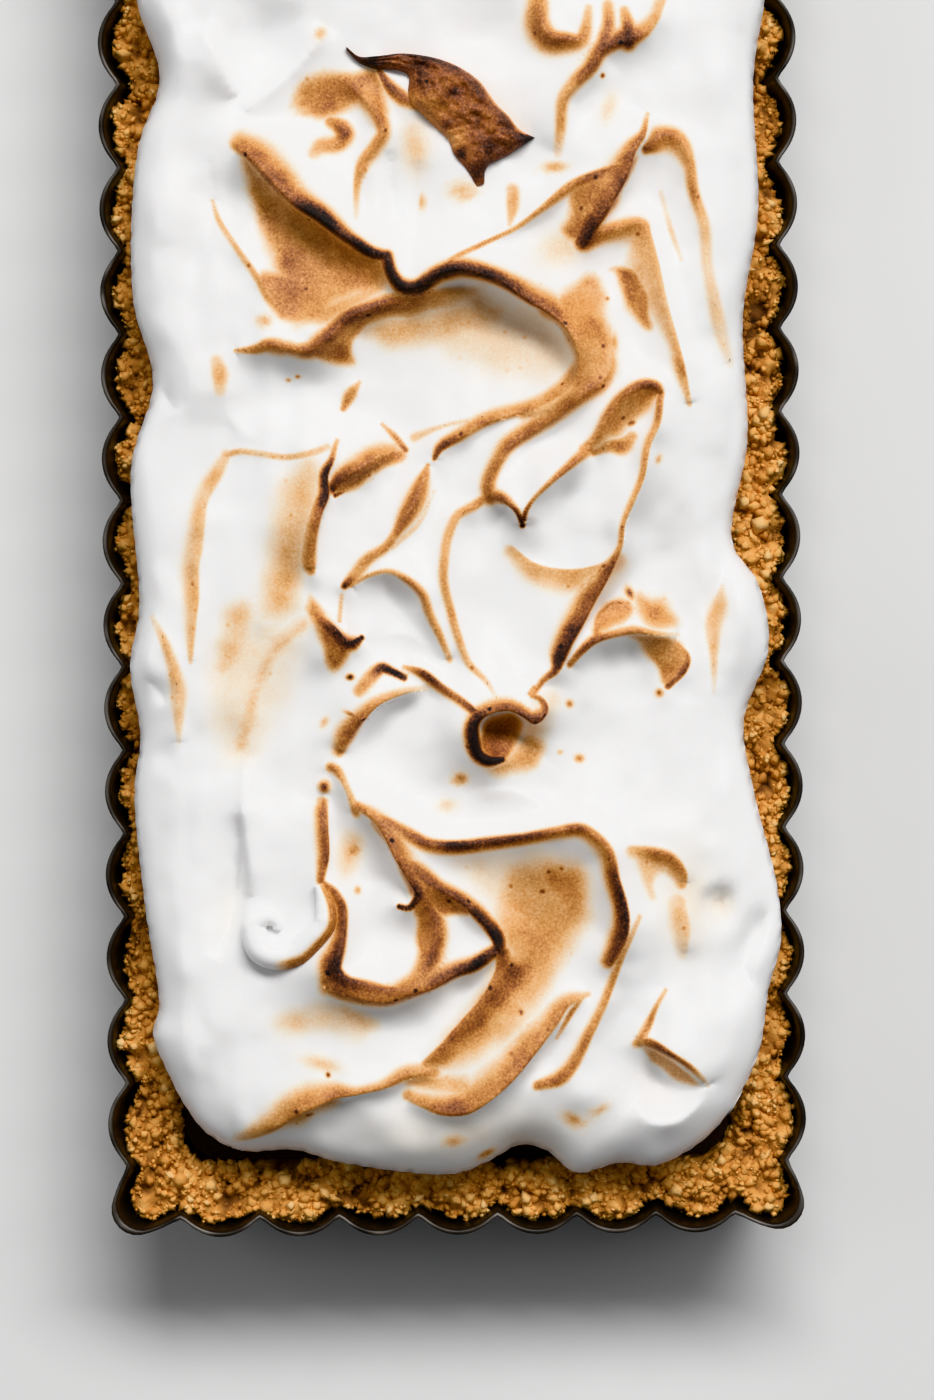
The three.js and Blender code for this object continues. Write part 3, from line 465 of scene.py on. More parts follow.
# Patches: place, half length, half width, turn in degrees, toasting, rise
PATCHES = {
    "far_spot": (-19.5, 12.5, 1.1, 0.8, 60, 0.32, 0),
    "far_haze_a": (2, -12, 2, 1.4, 0, 0.26, 0),
    "far_haze_b": (-4, -13.5, 0.5, 1.2, 0, 0.38, 0),
    "far_haze_c": (3, -12.5, 2, 1.1, 30, 0.26, 0),
    "far_haze_d": (16.5, -8.5, 1.8, 0.8, 0, 0.36, 0),
    "far_haze_e": (25, 0.5, 1.2, 2.6, -20, 0.16, 0),
    "tail_dot": (24, 5.5, 0.35, 0.35, 0, 0.8, 0),
    "hook_dot": (37.5, -9, 0.5, 0.4, 0, 0.65, 0),
    "band_dot": (24.5, -29, 0.35, 0.35, 0, 0.6, 0),
    "band_oval": (25.5, -36, 1.7, 0.6, 90, 0.38, 0),
    "heart_dot": (28, -48.5, 0.7, 0.4, 30, 0.75, 0),
    "heart_side": (32, -54, 0.8, 0.5, 60, 0.32, 0),
    "shelf_hole": (-21.5, -33.5, 2, 1.2, 0, -0.9, 0.6),
    "shelf_dot_a": (-25, -41, 0.4, 0.3, 0, 0.4, 0),
    "shelf_dot_b": (-23.5, -40.5, 0.4, 0.3, 0, 0.42, 0),
    "arm_dot_a": (-16, -87, 0.6, 0.4, 10, 0.9, 0.3),
    "arm_dot_b": (-14.5, -93, 0.8, 0.4, 20, 0.9, 0.3),
    "arm_dash": (-16, -92.5, 1.2, 0.4, -20, 0.5, 0),
    "peak_dot": (-20, -104, 0.8, 0.8, 0, 0.95, 1.5),
    "fan_dot": (27.5, -74.5, 1, 0.6, -60, 0.75, 0),
    "dot_a": (18, -91.5, 0.6, 0.6, 0, 0.5, 0),
    "dot_b": (19.5, -100, 0.7, 0.6, 0, 0.55, 0),
    "dot_c": (16.5, -99, 0.5, 0.4, 0, 0.36, 0),
    "dot_d": (1, -103, 1.2, 0.9, 0, 0.44, 0),
    "dot_e": (32, -90, 0.6, 0.6, 0, 0.5, 0),
    "dot_f": (-1, -107, 1.5, 1, 0, 0.2, 0),
    "dot_g": (-15.5, -114, 0.6, 0.8, 0, 0.5, 0),
    "dot_h": (-15, -120, 0.5, 0.6, 0, 0.42, 0),
    "dot_i": (13.5, -120.5, 0.6, 0.5, 0, 0.85, 0),
    "dot_j": (14.5, -117.5, 0.4, 0.4, 0, 0.75, 0),
    "dot_k": (16.5, -117, 0.4, 0.4, 0, 0.7, 0),
    "dot_l": (10, -139, 0.5, 0.6, 0, 0.62, 0),
    "dot_m": (8, -145, 0.9, 0.6, 40, 0.5, 0),
    "dot_n": (-20, -148, 0.4, 0.4, 0, 0.7, 0),
    "dot_o": (-23, -154.5, 0.9, 0.5, 10, 0.85, 0),
    "front_a": (-0.5, -159, 1.8, 1.1, 0, 0.36, 0),
    "front_b": (18, -156, 2, 1, -30, 0.36, 0),
    "front_c": (22, -154.5, 1.8, 0.8, 30, 0.26, 0),
    "front_d": (-21, -146.5, 3, 1, -10, 0.26, 0),
    "front_e": (4.5, -161.5, 1.5, 0.6, 30, 0.5, 0),
    "slope_dot": (-28, -17, 0.6, 0.7, 0, 0.7, 0),
    "star_tail": (-20, -94, 1, 0.6, 60, 0.28, 0),
    "far_basin": (-28.5, 10.5, 6, 7, 0, 0, -6),
    "roll_shadow": (-35.5, -124, 4.3, 2.2, 80, 0.03, -0.8),
    "right_dent": (41, -123, 2.3, 2.3, 0, 0.1, -4),
    "corner_hollow": (32.5, -150.5, 4.6, 3.4, -35, 0, -3.5),
    "slope_spot": (-28.5, -32, 1.2, 0.9, 0, 0.35, 0),
    "wall_spot": (-27, -74.5, 2.5, 3.5, 0, 0.33, 0),
    "left_dip": (-40, -22, 4, 3, 0, 0, -0.8),
    "shelf_hollow": (-27, -43, 7, 5, 0, 0, -1.2),
    "far_dip": (7, 12, 7, 5, 0, 0, -2.5),
    "far_swell": (39, 4, 7, 6, 0, 0, 1.2),
    "lobe_swell": (45, -76, 2.5, 7, 0, 0, 2),
    "front_lump": (20.5, -151.5, 3.5, 3, 0, 0, 1.5),
    # Painted shadow of the flap, together with some real tan
    "flap_shadow_haze": (-5, -5, 2.2, 4, 0, 0.2, 0),
    # Painted shade: faint warm tint on the front slope, which faces away from the light
    "front_shade_blush": (2, -158, 16, 5, 0, 0.07, 0),
    "loop_blush": (36, -122, 4, 8, 0, 0.09, 0),
    "rise_blush": (17.5, -21, 4, 3, 20, 0.15, 0),
}

# Toasted areas: toasting, width of the soft edge, outline
AREAS = {
    "comma_patch": (0.45, 1.8, [
        (-24, 2), (-23.5, 4), (-21.5, 6.5), (-18, 7), (-13, 6.5), (-10.5, 7), (-9.5, 4), (-9.5, -0.5),
        (-10.5, -2.5), (-12, 0), (-14, 1.5), (-16, 0.5), (-18.5, -0.5), (-21, -0.5), (-23, 0.5)]),
    "brown_slope": (0.45, 2, [
        (-32, -5.5), (-29.5, -7.5), (-26.5, -10.5), (-23, -13.5), (-19.5, -16.5), (-15, -19.5),
        (-11.5, -21.5), (-9.5, -22.5), (-9, -24.5), (-10, -26), (-12, -28), (-14.5, -28), (-18.5, -29.5),
        (-22, -31.5), (-24.5, -31.5), (-25.5, -29.5), (-24, -29), (-25.5, -26.5), (-27, -23),
        (-28.5, -19.5), (-29.5, -16), (-30.5, -12), (-32, -8.5)]),
    "slope_dark": (0.44, 4, [
        (-28, -9.5), (-23, -13.5), (-19.5, -16.5), (-15, -19.5), (-11.5, -21.5), (-9.5, -22.5), (-9.5, -25),
        (-12, -27.5), (-16, -26.5), (-21, -22.5), (-25, -17.5), (-28.5, -12)]),
    "bowl_back": (0.42, 2, [
        (14.5, -30.5), (18, -27.5), (21, -25.5), (23.5, -25.5), (24, -28.5), (24, -31), (24.5, -34),
        (25.5, -36), (25.5, -39.5), (24.5, -42), (22.5, -44), (19, -45.5), (15.5, -48), (12.5, -50),
        (13, -48), (17.5, -44), (19, -41.5), (19.5, -38), (18.5, -35), (17, -33)]),
    "wedge_face": (0.5, 1.5, [
        (18.5, -12), (22.5, -10), (27.5, -8), (29, -7), (27.5, -10.5), (25, -15.5), (22.5, -18.5),
        (21, -20.5), (18.5, -20), (17, -18.5), (18.5, -17), (19, -15)]),
    "band_blob": (0.45, 1.2, [
        (24.5, -24.5), (26.5, -24), (28.5, -24.5), (30, -26.5), (31, -29.5), (31, -32), (31, -34.5),
        (28, -31.5), (27, -28.5), (26, -24.5)]),
    "shelf_blob": (0.55, 1.5, [
        (-21.5, -37), (-18.5, -35.5), (-16, -34.5), (-15, -36.5), (-14, -39), (-17, -39), (-19.5, -38.5)]),
    "shelf_fade": (0.27, 3.5, [
        (-14.5, -33), (-9.5, -31), (-5, -30), (0, -29), (5, -28), (2, -27), (6.5, -28), (10, -30),
        (9, -32.5), (5.5, -34.5), (1, -35.5), (4.5, -34.5), (-0.5, -35.5), (-6, -36), (-11, -35.5),
        (-14, -34.5)]),
    "wall_patch": (0.29, 4, [
        (-22, -52.5), (-20.5, -55), (-20.5, -60), (-22, -66), (-23, -72), (-24.5, -77), (-27, -78),
        (-29.5, -77), (-29, -72), (-28, -66), (-27, -60), (-25, -55.5)]),
    "tan_mid": (0.24, 3, [
        (-34.5, -75), (-31.5, -74.5), (-30.5, -78), (-31.5, -83), (-34, -86.5), (-37, -86), (-36, -81)]),
    "tan_low": (0.28, 2, [
        (-22.5, -77.5), (-27, -80.5), (-30, -85), (-31.5, -89), (-32.5, -93), (-34, -98), (-32, -98),
        (-30.5, -93), (-29.5, -89), (-28, -86), (-26, -82.5), (-22, -79.5)]),
    "heart_top": (0.4, 1.5, [
        (21, -53), (22, -51), (24.5, -47.5), (27, -44), (30, -42.5), (32, -42.5), (33, -44), (31.5, -45),
        (31, -46.5), (28, -48.5), (25, -51), (22.5, -53)]),
    "star_body": (0.44, 1.3, [
        (-22, -73.5), (-21, -75), (-19.5, -77.5), (-17.5, -80.5), (-15.5, -81.5), (-14, -81), (-15, -83),
        (-16.5, -85), (-18, -86.5), (-19.5, -86), (-20.5, -83), (-21.5, -79), (-22.5, -75.5)]),
    "star_dark": (0.56, 1.2, [
        (-18.5, -80), (-16, -81.5), (-14, -81), (-15.5, -83.5), (-17.5, -85.5), (-18.5, -83)]),
    "peak_inside": (0.52, 1.2, [
        (4.5, -95.5), (5.5, -93.5), (7, -92.5), (10, -92.5), (11, -94), (10.5, -97), (9, -99.5),
        (7.5, -101), (5.5, -100), (4, -98)]),
    "peak_under": (0.34, 2, [
        (4.5, -101.5), (7.5, -100.5), (10, -97), (12, -95.5), (14.5, -97.5), (13.5, -100.5), (10.5, -102),
        (6, -102.5)]),
    # Painted shade: faint pinkish tint in the hollow beside the peak
    "peak_shade_tint": (0.2, 3, [(10, -94.5), (14, -90), (16.5, -89.5), (16, -93), (14, -97), (10.5, -98)]),
    "fan_left": (0.46, 1.2, [
        (21, -80.5), (22, -77.5), (24.5, -75.5), (27, -75.5), (28, -77), (26.5, -78.5), (23.5, -79.5),
        (21.5, -82)]),
    "fan_right": (0.42, 2, [
        (28.5, -74.5), (30.5, -75.5), (33, -75), (34.5, -77.5), (35, -79.5), (32.5, -80), (30, -79),
        (29, -77)]),
    "fan_flap": (0.44, 1.2, [
        (26, -80.5), (31, -80.5), (35, -81.5), (36.5, -84.5), (35.5, -87), (33, -89), (32, -87),
        (31, -84.5), (29, -82.5)]),
    "cup_between": (0.5, 1.2, [
        (-13, -108.5), (-10.5, -111), (-7.5, -114.5), (-4.5, -117), (-1, -120), (3, -123.5), (0, -124),
        (-2, -124), (-3.5, -122), (-5, -121.5), (-6.5, -121), (-7, -118.5), (-9, -115), (-10.5, -112)]),
    "cup_drip": (0.3, 2.5, [(-18.5, -137.5), (-15.5, -138.5), (-11.5, -140), (-13, -141.5), (-15, -142)]),
    "tongue_tan": (0.26, 3, [(-18, -111.5), (-14, -111), (-14.5, -115), (-16, -118), (-18, -117.5)]),
    "wave_sweep": (0.36, 4, [
        (7.5, -130), (6.5, -126), (6.5, -118), (12, -114.5), (17.5, -116), (20.5, -117.5), (21, -120),
        (21, -123.5), (19, -126.5), (17, -130), (15, -134), (12, -138.5), (8, -142), (4.5, -145), (1, -147),
        (-2.5, -147.5), (-2.5, -144.5), (1, -141), (4.5, -136.5), (6.5, -132.5)]),
    "sweep_dark": (0.5, 4, [
        (7.5, -130), (10.5, -129), (13.5, -131), (13, -135), (9.5, -139), (5, -142.5), (1, -145.5),
        (-2.5, -146.5), (-2.5, -144.5), (1, -141), (4.5, -136.5), (6.5, -132.5)]),
    "sweep_top": (0.42, 3, [
        (13, -116), (17.5, -116), (20.5, -118.5), (21, -122), (19.5, -126), (17, -126), (15.5, -123),
        (13.5, -120.5), (11.5, -118)]),
    "loop_fill": (0.28, 1.5, [
        (27.5, -114), (31, -115), (34, -117.5), (31, -118.5), (31, -122.5), (29, -120)]),
    "front_patch": (0.44, 2.5, [
        (-29.5, -156.5), (-27, -153.5), (-24.5, -151.5), (-22, -151), (-18, -152), (-19, -153.5),
        (-22, -155), (-25, -156.5)]),
    "fold_patch": (0.34, 2, [
        (-8.5, -149.5), (-5, -148), (-1.5, -148.5), (3.5, -149), (3.5, -151.5), (-1.5, -151.5),
        (-6, -151)]),
    "flag_fill": (0.46, 1.2, [
        (-19, -58), (-17, -56.5), (-14, -54.5), (-10.5, -52.5), (-8, -52), (-7, -53), (-9, -54.5),
        (-12.5, -56.5), (-15.5, -58), (-18, -59)]),
    "shelf_fill": (0.5, 1.2, [
        (-33, -36.5), (-30, -36), (-27.5, -35.5), (-24.5, -36), (-21.5, -35.5), (-19, -33.5), (-17, -31),
        (-14, -29.5), (-10.5, -29), (-6, -29), (-2.5, -28), (-6, -30.5), (-9.5, -31), (-12.5, -32.5),
        (-14.5, -34.5), (-15, -36.5), (-14.5, -38.5), (-17, -39), (-20, -38.5), (-22, -37), (-25, -37.5),
        (-28, -37), (-31, -37)]),
    "slope_foot": (0.42, 1.5, [
        (-30, -24), (-9.5, -24.5), (-11.5, -26.5), (-15.5, -28), (-18.5, -29.5), (-20.5, -32), (-22, -32.5),
        (-24, -32.5), (-27, -31), (-29, -27.5)]),
    "bowl_dark": (0.52, 2, [
        (13.5, -30), (16.5, -29), (18, -31), (19, -34), (20, -37), (20, -39), (19, -36), (17, -33)]),
    "cup_arm": (0.5, 1.2, [
        (-6, -120), (-4.5, -119.5), (-3, -122), (-2, -126), (-3, -129), (-4.5, -132.5), (-7, -134.5),
        (-10, -135.5), (-10.5, -134.5), (-7.5, -133), (-6.5, -131.5), (-6, -128.5), (-6, -125.5),
        (-6.5, -123)]),
    "sweep_left": (0.14, 4, [
        (-1, -115), (5, -114), (11.5, -114.5), (13, -118), (9.5, -121.5), (6, -124), (3.5, -120)]),
    "sweep_edge": (0.56, 1.8, [
        (7.5, -130), (9.5, -130), (11.5, -132), (10.5, -135.5), (7, -139.5), (3, -143), (-1.5, -145.5),
        (-2.5, -146), (-2.5, -144), (1, -141), (4.5, -136.5), (6.5, -132.5)]),
    "corner_band": (0.36, 1, [
        (28, -143.5), (31, -145), (35, -148), (38.5, -151), (36.5, -151), (33.5, -149.5), (30, -147),
        (28.5, -145)]),
    "tan_veil": (0.12, 5, [
        (-36, -78), (-30, -77), (-23, -79), (-24, -86), (-27, -93), (-31, -100), (-36, -100), (-38, -90)]),
    "cup_haze": (0.2, 3, [
        (-29, -140), (-22, -137.5), (-15, -138), (-13.5, -141), (-15.5, -143.5), (-20, -141.5),
        (-28, -143)]),
    "cup_left_arm": (0.5, 1.5, [
        (-19, -129.5), (-18, -132.5), (-16.5, -135), (-20, -136), (-21.5, -135), (-21, -132)]),
    "slope_gap": (0.32, 2, [
        (-9.5, -23), (-8, -25.5), (-11.5, -29), (-15.5, -31), (-21, -33.5), (-24.5, -33.5), (-23, -31),
        (-17, -28), (-12, -26)]),
    # Painted shade: cream tint where the bowl lies under its lip
    "bowl_shade_cream": (0.15, 5, [
        (-3, -30), (8, -28), (15, -31), (20, -36), (20, -40), (14, -42), (5, -40), (-3, -36)]),
}

# The flap: points on its upper and its lower edge, side by side, from the stem to the free end
FLAP = [
    (-15.5, 10.5, -15.5, 10),
    (-13.5, 9, -13.5, 8),
    (-11, 9, -11, 7),
    (-7, 9.5, -8, 7),
    (-3, 9, -6, 6),
    (1.5, 7.5, -6, 3.5),
    (5, 5, -5.5, 1.5),
    (6.5, 3, -4, 0),
    (8, 1, -2, -2),
    (9.5, -0.5, 0, -4),
    (11, -2.5, 1, -6.5),
    (12.5, -3.5, 3, -9),
    (13.5, -4, 4.5, -11.5),
]
FLAP_ROWS, FLAP_COLUMNS = 141, 49
FLAP_LENGTH, FLAP_WIDTH = 35, 9
# Its thickness, from the stem to the free end
FLAP_THICK = ((0, 0.25, 0.5, 0.8, 1), (0.8, 2.2, 3.6, 3.4, 2.2))
# How far its free end is hollowed between the two tips, from the upper tip to the lower one
FLAP_NOTCH = ((0, 0.13, 0.4, 0.55, 0.68, 0.8, 0.9, 1), (0, 0.2, 0.6, 1, 1.5, 0.9, -0.4, 0))
# Dark spots on it: place, size and toasting
FLAP_SPOTS = [
    (1, 3, 0.9, 0.3), (0, -2, 0.9, 0.25), (2, -6.5, 0.9, 0.5), (13, -4.5, 1, 0.6), (4.5, -9.5, 1.6, 0.3),
    (-12, 8, 1.5, 0.2), (-4, 6.5, 2, 0.2), (6, -5.5, 1.2, 0.15),
]

# The roll at the end of the tongue, walked inwards
ROLL = [
    (-21, -119), (-20, -122), (-20, -125), (-22, -127.5), (-24.5, -129.5), (-28, -130), (-30, -129),
    (-31, -126.5), (-31, -125), (-29, -124), (-27.5, -125), (-27.5, -126),
]
ROLL_STEPS, ROLL_TURNS = 100, 28
# Along it: half width, half height, height of its middle over the ground, toasting of its outer side
ROLL_WIDTH = ((0, 0.12, 0.4, 0.7, 0.9, 1), (0.7, 1.5, 2.2, 2.2, 1.6, 0.6))
ROLL_TALL = ((0, 0.3, 0.6, 0.9, 1), (1.0, 2.2, 2.6, 2.0, 0.8))
ROLL_BASE = ((0, 0.3, 1), (0.5, 0.3, -0.2))
ROLL_TOAST = ((0, 0.05, 0.15, 0.35, 0.5, 0.58), (0.3, 0.42, 0.46, 0.52, 0.46, 0))


# Meshes

def add_piece(name, points, faces, surface, node=None, attributes=None):
    """Makes one smooth piece from points in millimetres, on the tart's only body."""
    mesh = bpy.data.meshes.new(name)
    mesh.from_pydata((np.asarray(points) * MM).tolist(), [], faces)
    for key, values in (attributes or {}).items():
        layer = mesh.attributes.new(key, "FLOAT", "POINT")
        layer.data.foreach_set("value", np.asarray(values, dtype=np.float32))
    mesh.polygons.foreach_set("use_smooth", [True] * len(mesh.polygons))
    mesh.materials.append(surface)
    mesh.update()
    piece = bpy.data.objects.new(name, mesh)
    bpy.context.scene.collection.objects.link(piece)
    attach(piece, "root")
    if node:
        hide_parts(node)


def band_faces(ring_count, size):
    """Four-sided faces between closed rings of equally many points."""
    here = np.arange(size)
    after = (here + 1) % size
    row = np.stack([here, after, after + size, here + size], axis=1)
    return np.vstack([row + k * size for k in range(ring_count - 1)]).tolist()


def ring_body(rings):
    """Closed body from rings: capped below the first one and above the last one."""
    size = len(rings[0])
    faces = band_faces(len(rings), size)
    faces.append(list(range(size - 1, -1, -1)))
    faces.append(list(range((len(rings) - 1) * size, len(rings) * size)))
    return np.vstack(rings), faces


def unit(rows):
    """The rows as vectors of length 1."""
    return rows / np.linalg.norm(rows, axis=1, keepdims=True)


def left_of(path):
    """Directions that point to the left at each place on a path."""
    tangent = unit(np.gradient(path, axis=0))
    return np.stack([-tangent[:, 1], tangent[:, 0]], axis=1)


def lengths_along(path):
    """Length of a path up to each of its places."""
    return np.concatenate([[0], np.cumsum(np.linalg.norm(np.diff(path, axis=0), axis=1))])


def rows_at(stops, walked, rows):
    """Rows between the given ones, at stops along the way."""
    return np.stack([np.interp(stops, walked, column) for column in rows.T], axis=1)


def smooth_line(line, count=None, step=0.5, places=2):
    """Rows at even distances on a smooth curve through a few given rows, which start with their places."""
    rows = np.array(line, dtype=float)
    rows = np.vstack([2 * rows[0] - rows[1], rows, 2 * rows[-1] - rows[-2]])
    knots = np.sqrt(np.linalg.norm(np.diff(rows[:, :places], axis=0), axis=1))
    t = np.linspace(0, 1, CURVE_STEPS, endpoint=False)[:, None]
    pieces = []
    for i in range(1, len(rows) - 2):
        p0, p1, p2, p3 = rows[i - 1:i + 3]
        d0, d1, d2 = knots[i - 1:i + 2]
        start = ((p1 - p0) / d0 - (p2 - p0) / (d0 + d1) + (p2 - p1) / d1) * d1
        end = ((p2 - p1) / d1 - (p3 - p1) / (d1 + d2) + (p3 - p2) / d2) * d1
        pieces.append((2 * t**3 - 3 * t**2 + 1) * p1 + (t**3 - 2 * t**2 + t) * start
                      + (3 * t**2 - 2 * t**3) * p2 + (t**3 - t**2) * end)
    dense = np.vstack(pieces + [rows[-2:-1]])
    walked = lengths_along(dense[:, :places])
    if count is None:
        count = max(int(walked[-1] / step), 4)
    return rows_at(np.linspace(0, walked[-1], count + 1), walked, dense)


def eased(part):
    """0 to 1 with a gentle start and end."""
    return part * part * (3 - 2 * part)


def value_noise(points, size, seed):
    """Smooth noise between 0 and 1 over two or three dimensions, with lumps of about the given size."""
    draws = np.random.default_rng(seed).random((NOISE_CELLS,) * 3)
    cells = np.asarray(points) / size
    if cells.shape[1] == 2:
        cells = np.column_stack([cells, np.zeros(len(cells))])
    low = np.floor(cells).astype(int)
    part = eased(cells - low)
    total = np.zeros(len(cells))
    for corner in itertools.product((0, 1), repeat=3):
        shares = np.where(corner, part, 1 - part)
        x, y, z = ((low + corner) % NOISE_CELLS).T
        total += shares[:, 0] * shares[:, 1] * shares[:, 2] * draws[x, y, z]
    return total


def lumps(points, size, seed, height):
    """Smooth noise of the given height, as much above 0 as below it."""
    return height * (value_noise(points, size, seed) - 0.5)


def grain_noise(points, size, seed):
    """Height of packed round grains of the given size, from 0 in the gaps to 1, and a draw for each grain."""
    rng = np.random.default_rng(seed)
    centres = rng.random((GRAIN_CELLS, GRAIN_CELLS, GRAIN_CELLS, 3))
    tints = rng.random((GRAIN_CELLS,) * 3)
    cells = np.asarray(points) / size
    low = np.floor(cells).astype(int)
    nearest = np.full(len(cells), 9.0)
    tint = np.zeros(len(cells))
    for step in itertools.product((-1, 0, 1), repeat=3):
        cell = low + step
        x, y, z = (cell % GRAIN_CELLS).T
        distance = np.linalg.norm(cells - (cell + centres[x, y, z]), axis=1)
        closer = distance < nearest
        nearest = np.where(closer, distance, nearest)
        tint = np.where(closer, tints[x, y, z], tint)
    return 1 - np.clip(nearest / GRAIN_RADIUS, 0, 1) ** 2, tint


# Materials

def linear(channel):
    """Linear light for a display value from 0 to 255."""
    value = channel / 255
    return value / 12.92 if value <= 0.04045 else ((value + 0.055) / 1.055) ** 2.4


def pigment(colour):
    """Linear colour for a display colour, lifted by as much as the view transform takes off every channel."""
    channels = [linear(channel) for channel in colour]
    least = min(channels)
    lift = VIEW_LOSS if least > VIEW_LOSS else math.sqrt(least * VIEW_LOSS * 4) - least
    return [channel + lift for channel in channels]


class Look:
    """A material made of nodes; the values of their sockets are numbers or the outputs of other nodes."""

    def __init__(self, name):
        self.surface = bpy.data.materials.new(name)
        self.surface.use_nodes = True
        self.tree = self.surface.node_tree
        self.place = self.tree.nodes.new("ShaderNodeTexCoord").outputs["Object"]

    def fill(self, node, values):
        """Sets a node's sockets, by name or number."""
        for key, value in values.items():
            if isinstance(value, bpy.types.NodeSocket):
                self.tree.links.new(value, node.inputs[key])
            else:
                node.inputs[key].default_value = value

    def node(self, kind, values):
        node = self.tree.nodes.new("ShaderNode" + kind)
        self.fill(node, values)
        return node

    def finish(self, values):
        """Gives the values to the material's shader and returns the material."""
        self.fill(self.tree.nodes["Principled BSDF"], values)
        return self.surface

    def attribute(self, name):
        node = self.node("Attribute", {})
        node.attribute_name = name
        return node.outputs["Fac"]

    def noise(self, scale, detail=3.0, roughness=0.55):
        """Noise over the object's own coordinates, in features per metre."""
        values = {"Vector": self.place, "Scale": scale, "Detail": detail, "Roughness": roughness}
        return self.node("TexNoise", values).outputs["Fac"]

    def math(self, operation, *values, clamp=False):
        node = self.node("Math", {})
        node.operation = operation
        node.use_clamp = clamp
        self.fill(node, dict(enumerate(values)))
        return node.outputs["Value"]

    def specks(self, scale, strength):
        """Scattered small dots of the given strength, 0 elsewhere; scale is cells per metre."""
        cells = self.node("TexVoronoi", {"Vector": self.place, "Scale": scale})
        dot = self.math("MULTIPLY_ADD", cells.outputs["Distance"], -10, 1.6, clamp=True)
        draw = self.node("SeparateColor", {"Color": cells.outputs["Color"]}).outputs["Red"]
        chosen = self.math("GREATER_THAN", draw, 0.5)
        return self.math("MULTIPLY", self.math("MULTIPLY", dot, chosen), strength)

    def ramp(self, value, stops):
        """Colour ramp over the value, from stops like those at the top."""
        node = self.node("ValToRGB", {"Fac": value})
        elements = node.color_ramp.elements
        while len(elements) < len(stops):
            elements.new(0.5)
        for element, (place, *colour) in zip(elements, stops):
            element.position = place
            element.color = (*pigment(colour), 1)
        return node.outputs["Color"]

    def spread(self, value, low, high):
        """Maps 0..1 to low..high."""
        return self.node("MapRange", {"Value": value, "To Min": low, "To Max": high}).outputs["Result"]

    def bump(self, height, strength, distance):
        """Fine unevenness for the shader's normal; the distance is in millimetres."""
        values = {"Height": height, "Strength": strength, "Distance": distance * MM}
        return self.node("Bump", values).outputs["Normal"]


def tin_material():
    look = Look("tin_nonstick")
    smear = look.noise(160, 5)
    # The rim attribute lightens the rim: partly worn metal, partly a painted highlight
    level = look.math("MAXIMUM", look.attribute("rim"), look.math("MULTIPLY", smear, 0.35), clamp=True)
    return look.finish({
        "Base Color": look.ramp(level, TIN_COLOURS),
        "Roughness": look.spread(smear, 0.35, 0.55),
        "Metallic": 0.4,
        "Specular IOR Level": 0.3,
        "Normal": look.bump(look.noise(2600, 2), 0.08, 0.1),
    })


def crust_material():
    look = Look("crumb_crust")
    fine = look.noise(1700, 4, 0.7)
    tone = look.math("MULTIPLY_ADD", look.attribute("tint"), 0.4, 0.3)
    tone = look.math("ADD", tone, look.math("MULTIPLY", fine, 0.4))
    # Painted shade: the tone is darkened in the crust's crevices, between its clumps, grains and crumbs
    tone = look.math("MULTIPLY", tone, look.attribute("crevice_shade"), clamp=True)
    return look.finish({
        "Base Color": look.ramp(tone, CRUST_COLOURS),
        "Roughness": 0.85,
        "Specular IOR Level": 0.3,
        "Normal": look.bump(fine, 0.7, 0.4),
    })


def filling_material():
    look = Look("dark_chocolate")
    cloud = look.noise(220, 4)
    return look.finish({
        "Base Color": look.ramp(cloud, FILLING_COLOURS),
        "Roughness": look.spread(cloud, 0.45, 0.65),
        "Specular IOR Level": 0.25,
        "Normal": look.bump(look.noise(700, 3), 0.15, 0.3),
    })


def marshmallow_material():
    """White to black by how far the surface is toasted; lines are drawn from the distance to the crests."""
    look = Look("toasted_marshmallow")
    fall = look.math("MULTIPLY", look.math("POWER", look.attribute("line_gap"), LINE_SHARPNESS), -1)
    line = look.math("MULTIPLY", look.math("EXPONENT", fall), look.attribute("line_toast"))
    level = look.math("MAXIMUM", line, look.attribute("toast"))
    mottle = look.noise(420, 4, 0.6)
    grain = look.noise(2400, 3, 0.7)
    swing = look.math("MULTIPLY_ADD", mottle, 0.6, 0.15)
    swing = look.math("ADD", swing, look.math("MULTIPLY", grain, 1.1))
    swing = look.math("ADD", swing, look.specks(330, 0.7))
    level = look.math("MULTIPLY", swing, level)
    return look.finish({
        "Base Color": look.ramp(level, TOAST_COLOURS),
        "Roughness": look.spread(level, 0.34, 0.75),
        "Specular IOR Level": 0.35,
        "Subsurface Weight": 0.2,
        "Subsurface Radius": (1.0, 0.85, 0.75),
        "Subsurface Scale": 0.002,
        "Normal": look.bump(grain, look.spread(level, 0.03, 0.7), 0.3),
    })


def floor_material():
    look = Look("pale_table")
    return look.finish({"Base Color": look.ramp(look.noise(9, 3), FLOOR_COLOURS), "Roughness": 0.6})


# Tin

